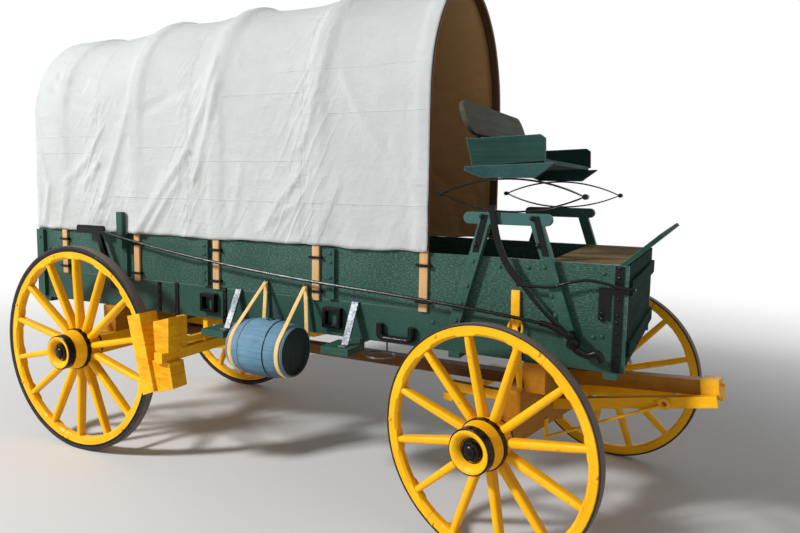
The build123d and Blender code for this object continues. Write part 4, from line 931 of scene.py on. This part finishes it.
# Teeth along the top of the brake's ratchet plate: each a low wedge across the plate.
ratchet = {
    "from": -1.712, "to": -1.47, "teeth": 14, "y": -0.611, "top": 1.4295, "long": 0.016, "high": 0.011,
    "half": 0.0068,
}
wedge = np.array([(-0.5, 0.0), (0.45, 0.0), (0.5, 0.3), (0.36, 1.0), (0.28, 1.0)])
teeth = []
for x in np.linspace(ratchet["from"], ratchet["to"], ratchet["teeth"]):
    shape = wedge * [ratchet["long"], ratchet["high"]] + [x, ratchet["top"] - 0.001]
    ends = [np.insert(shape, 1, ratchet["y"] + s * ratchet["half"], 1) for s in (-1, 1)]
    teeth.append(ringShape(np.stack(ends)))
lay("ratchet_teeth", teeth, blackIron)

studs("green_bolts", green, 0.0105, 0.0075, greenX)
studs("leg_strap_bolts", black, 0.012, 0.01, blackIron)
studs("strap_rivets", strapRivets, 0.0085, 0.006, blackIron)
print("bolts laid")

# Studio: pale floor, soft lamps, and the camera where the photograph was taken.
studio = {
    "camera": (2.16249, -3.55603, 1.73152), "yaw": 2.02956215, "pitch": -0.0970344271, "roll": 0.0167795553,
    "focal": 648.031, "frame": 800.0, "drop": -17.117, "sensor": 36, "clipEnd": 200, "world": 0.26,
    "floor": (0.7, 0.7, 0.7), "floorHalf": 30, "fadeFrom": 2.5, "fadeTo": 9.0,
}


def facing(right, up, back, at):
    # the matrix of a camera or lamp from its own three directions and its place
    return Matrix([[right[i], up[i], back[i], at[i]] for i in range(3)] + [[0, 0, 0, 1]])


yaw, pitch = studio["yaw"], studio["pitch"]
f = np.array([math.cos(pitch) * math.cos(yaw), math.cos(pitch) * math.sin(yaw), math.sin(pitch)])
right = unit(np.cross(f, [0, 0, 1]))
up = np.cross(right, f)
cr, sr = math.cos(studio["roll"]), math.sin(studio["roll"])
right, up = right * cr + up * sr, up * cr - right * sr
cameraData = bpy.data.cameras.new("viewpoint")
cameraData.sensor_width = studio["sensor"]
cameraData.lens = studio["focal"] / studio["frame"] * studio["sensor"]
cameraData.shift_y = studio["drop"] / studio["frame"]
cameraData.clip_end = studio["clipEnd"]
camera = placed("viewpoint", cameraData)
camera.matrix_world = facing(right, up, -f, studio["camera"])
bpy.context.scene.camera = camera

floorMesh = bpy.data.meshes.new("studio_floor")
corners = np.array([(-1, -1, 0), (1, -1, 0), (1, 1, 0), (-1, 1, 0)]) * studio["floorHalf"]
floorMesh.from_pydata(corners.tolist(), [], [(0, 1, 2, 3)])
floor = placed("studio_floor", floorMesh)
floorMade = Finish("studioFloor")
floorMade.set(Base_Color=(*studio["floor"], 1), Roughness=0.9, Specular_IOR_Level=0.1)
spot = floorMade.place((1, 1, 1))
away = floorMade.node("ShaderNodeVectorMath", {"operation": "LENGTH"}, {0: spot}, "Value")
glow = floorMade.node("ShaderNodeEmission", None, {"Strength": 1.0})
far = floorMade.node("ShaderNodeMapRange", {"clamp": True, "interpolation_type": "SMOOTHSTEP"},
                     {"Value": away, "From Min": studio["fadeFrom"], "From Max": studio["fadeTo"]})
ground = Wire(floorMade, floorMade.shader.outputs[0])
blend = floorMade.node("ShaderNodeMixShader", None, {0: far * floorMade.background(), 1: ground, 2: glow})
floorMade.shader = floorMade.tree.nodes["Material Output"]
floorMade.set(Surface=blend)
floorMesh.materials.append(floorMade.material)

world = bpy.data.worlds.new("studio")
bpy.context.scene.world = world
sky = Finish("studio", world, "Background")
sky.set(Color=(1, 1, 1, 1), Strength=studio["world"] + sky.background() * (1 - studio["world"]))

lamps = [
    {"name": "key", "at": (-8.2, -10.8, 9.6), "to": (0, 0, 1.1), "size": 1.9, "power": 2700},
    {"name": "fill", "at": (6.5, -3.5, 3.5), "to": (0.5, 0, 1.0), "size": 4.0, "power": 10},
    {"name": "back", "at": (1.0, 6.0, 5.5), "to": (0, 0, 1.2), "size": 4.0, "power": 28},
]
for lamp in lamps:
    data = bpy.data.lights.new(lamp["name"], "AREA")
    data.size = lamp["size"]
    data.energy = lamp["power"]
    away = unit(np.array(lamp["at"]) - np.array(lamp["to"]))
    side = unit(np.cross([0, 0, 1], away))
    placed(lamp["name"], data).matrix_world = facing(side, np.cross(away, side), away, lamp["at"])
bpy.context.scene.view_settings.view_transform = "Standard"
print("studio set")
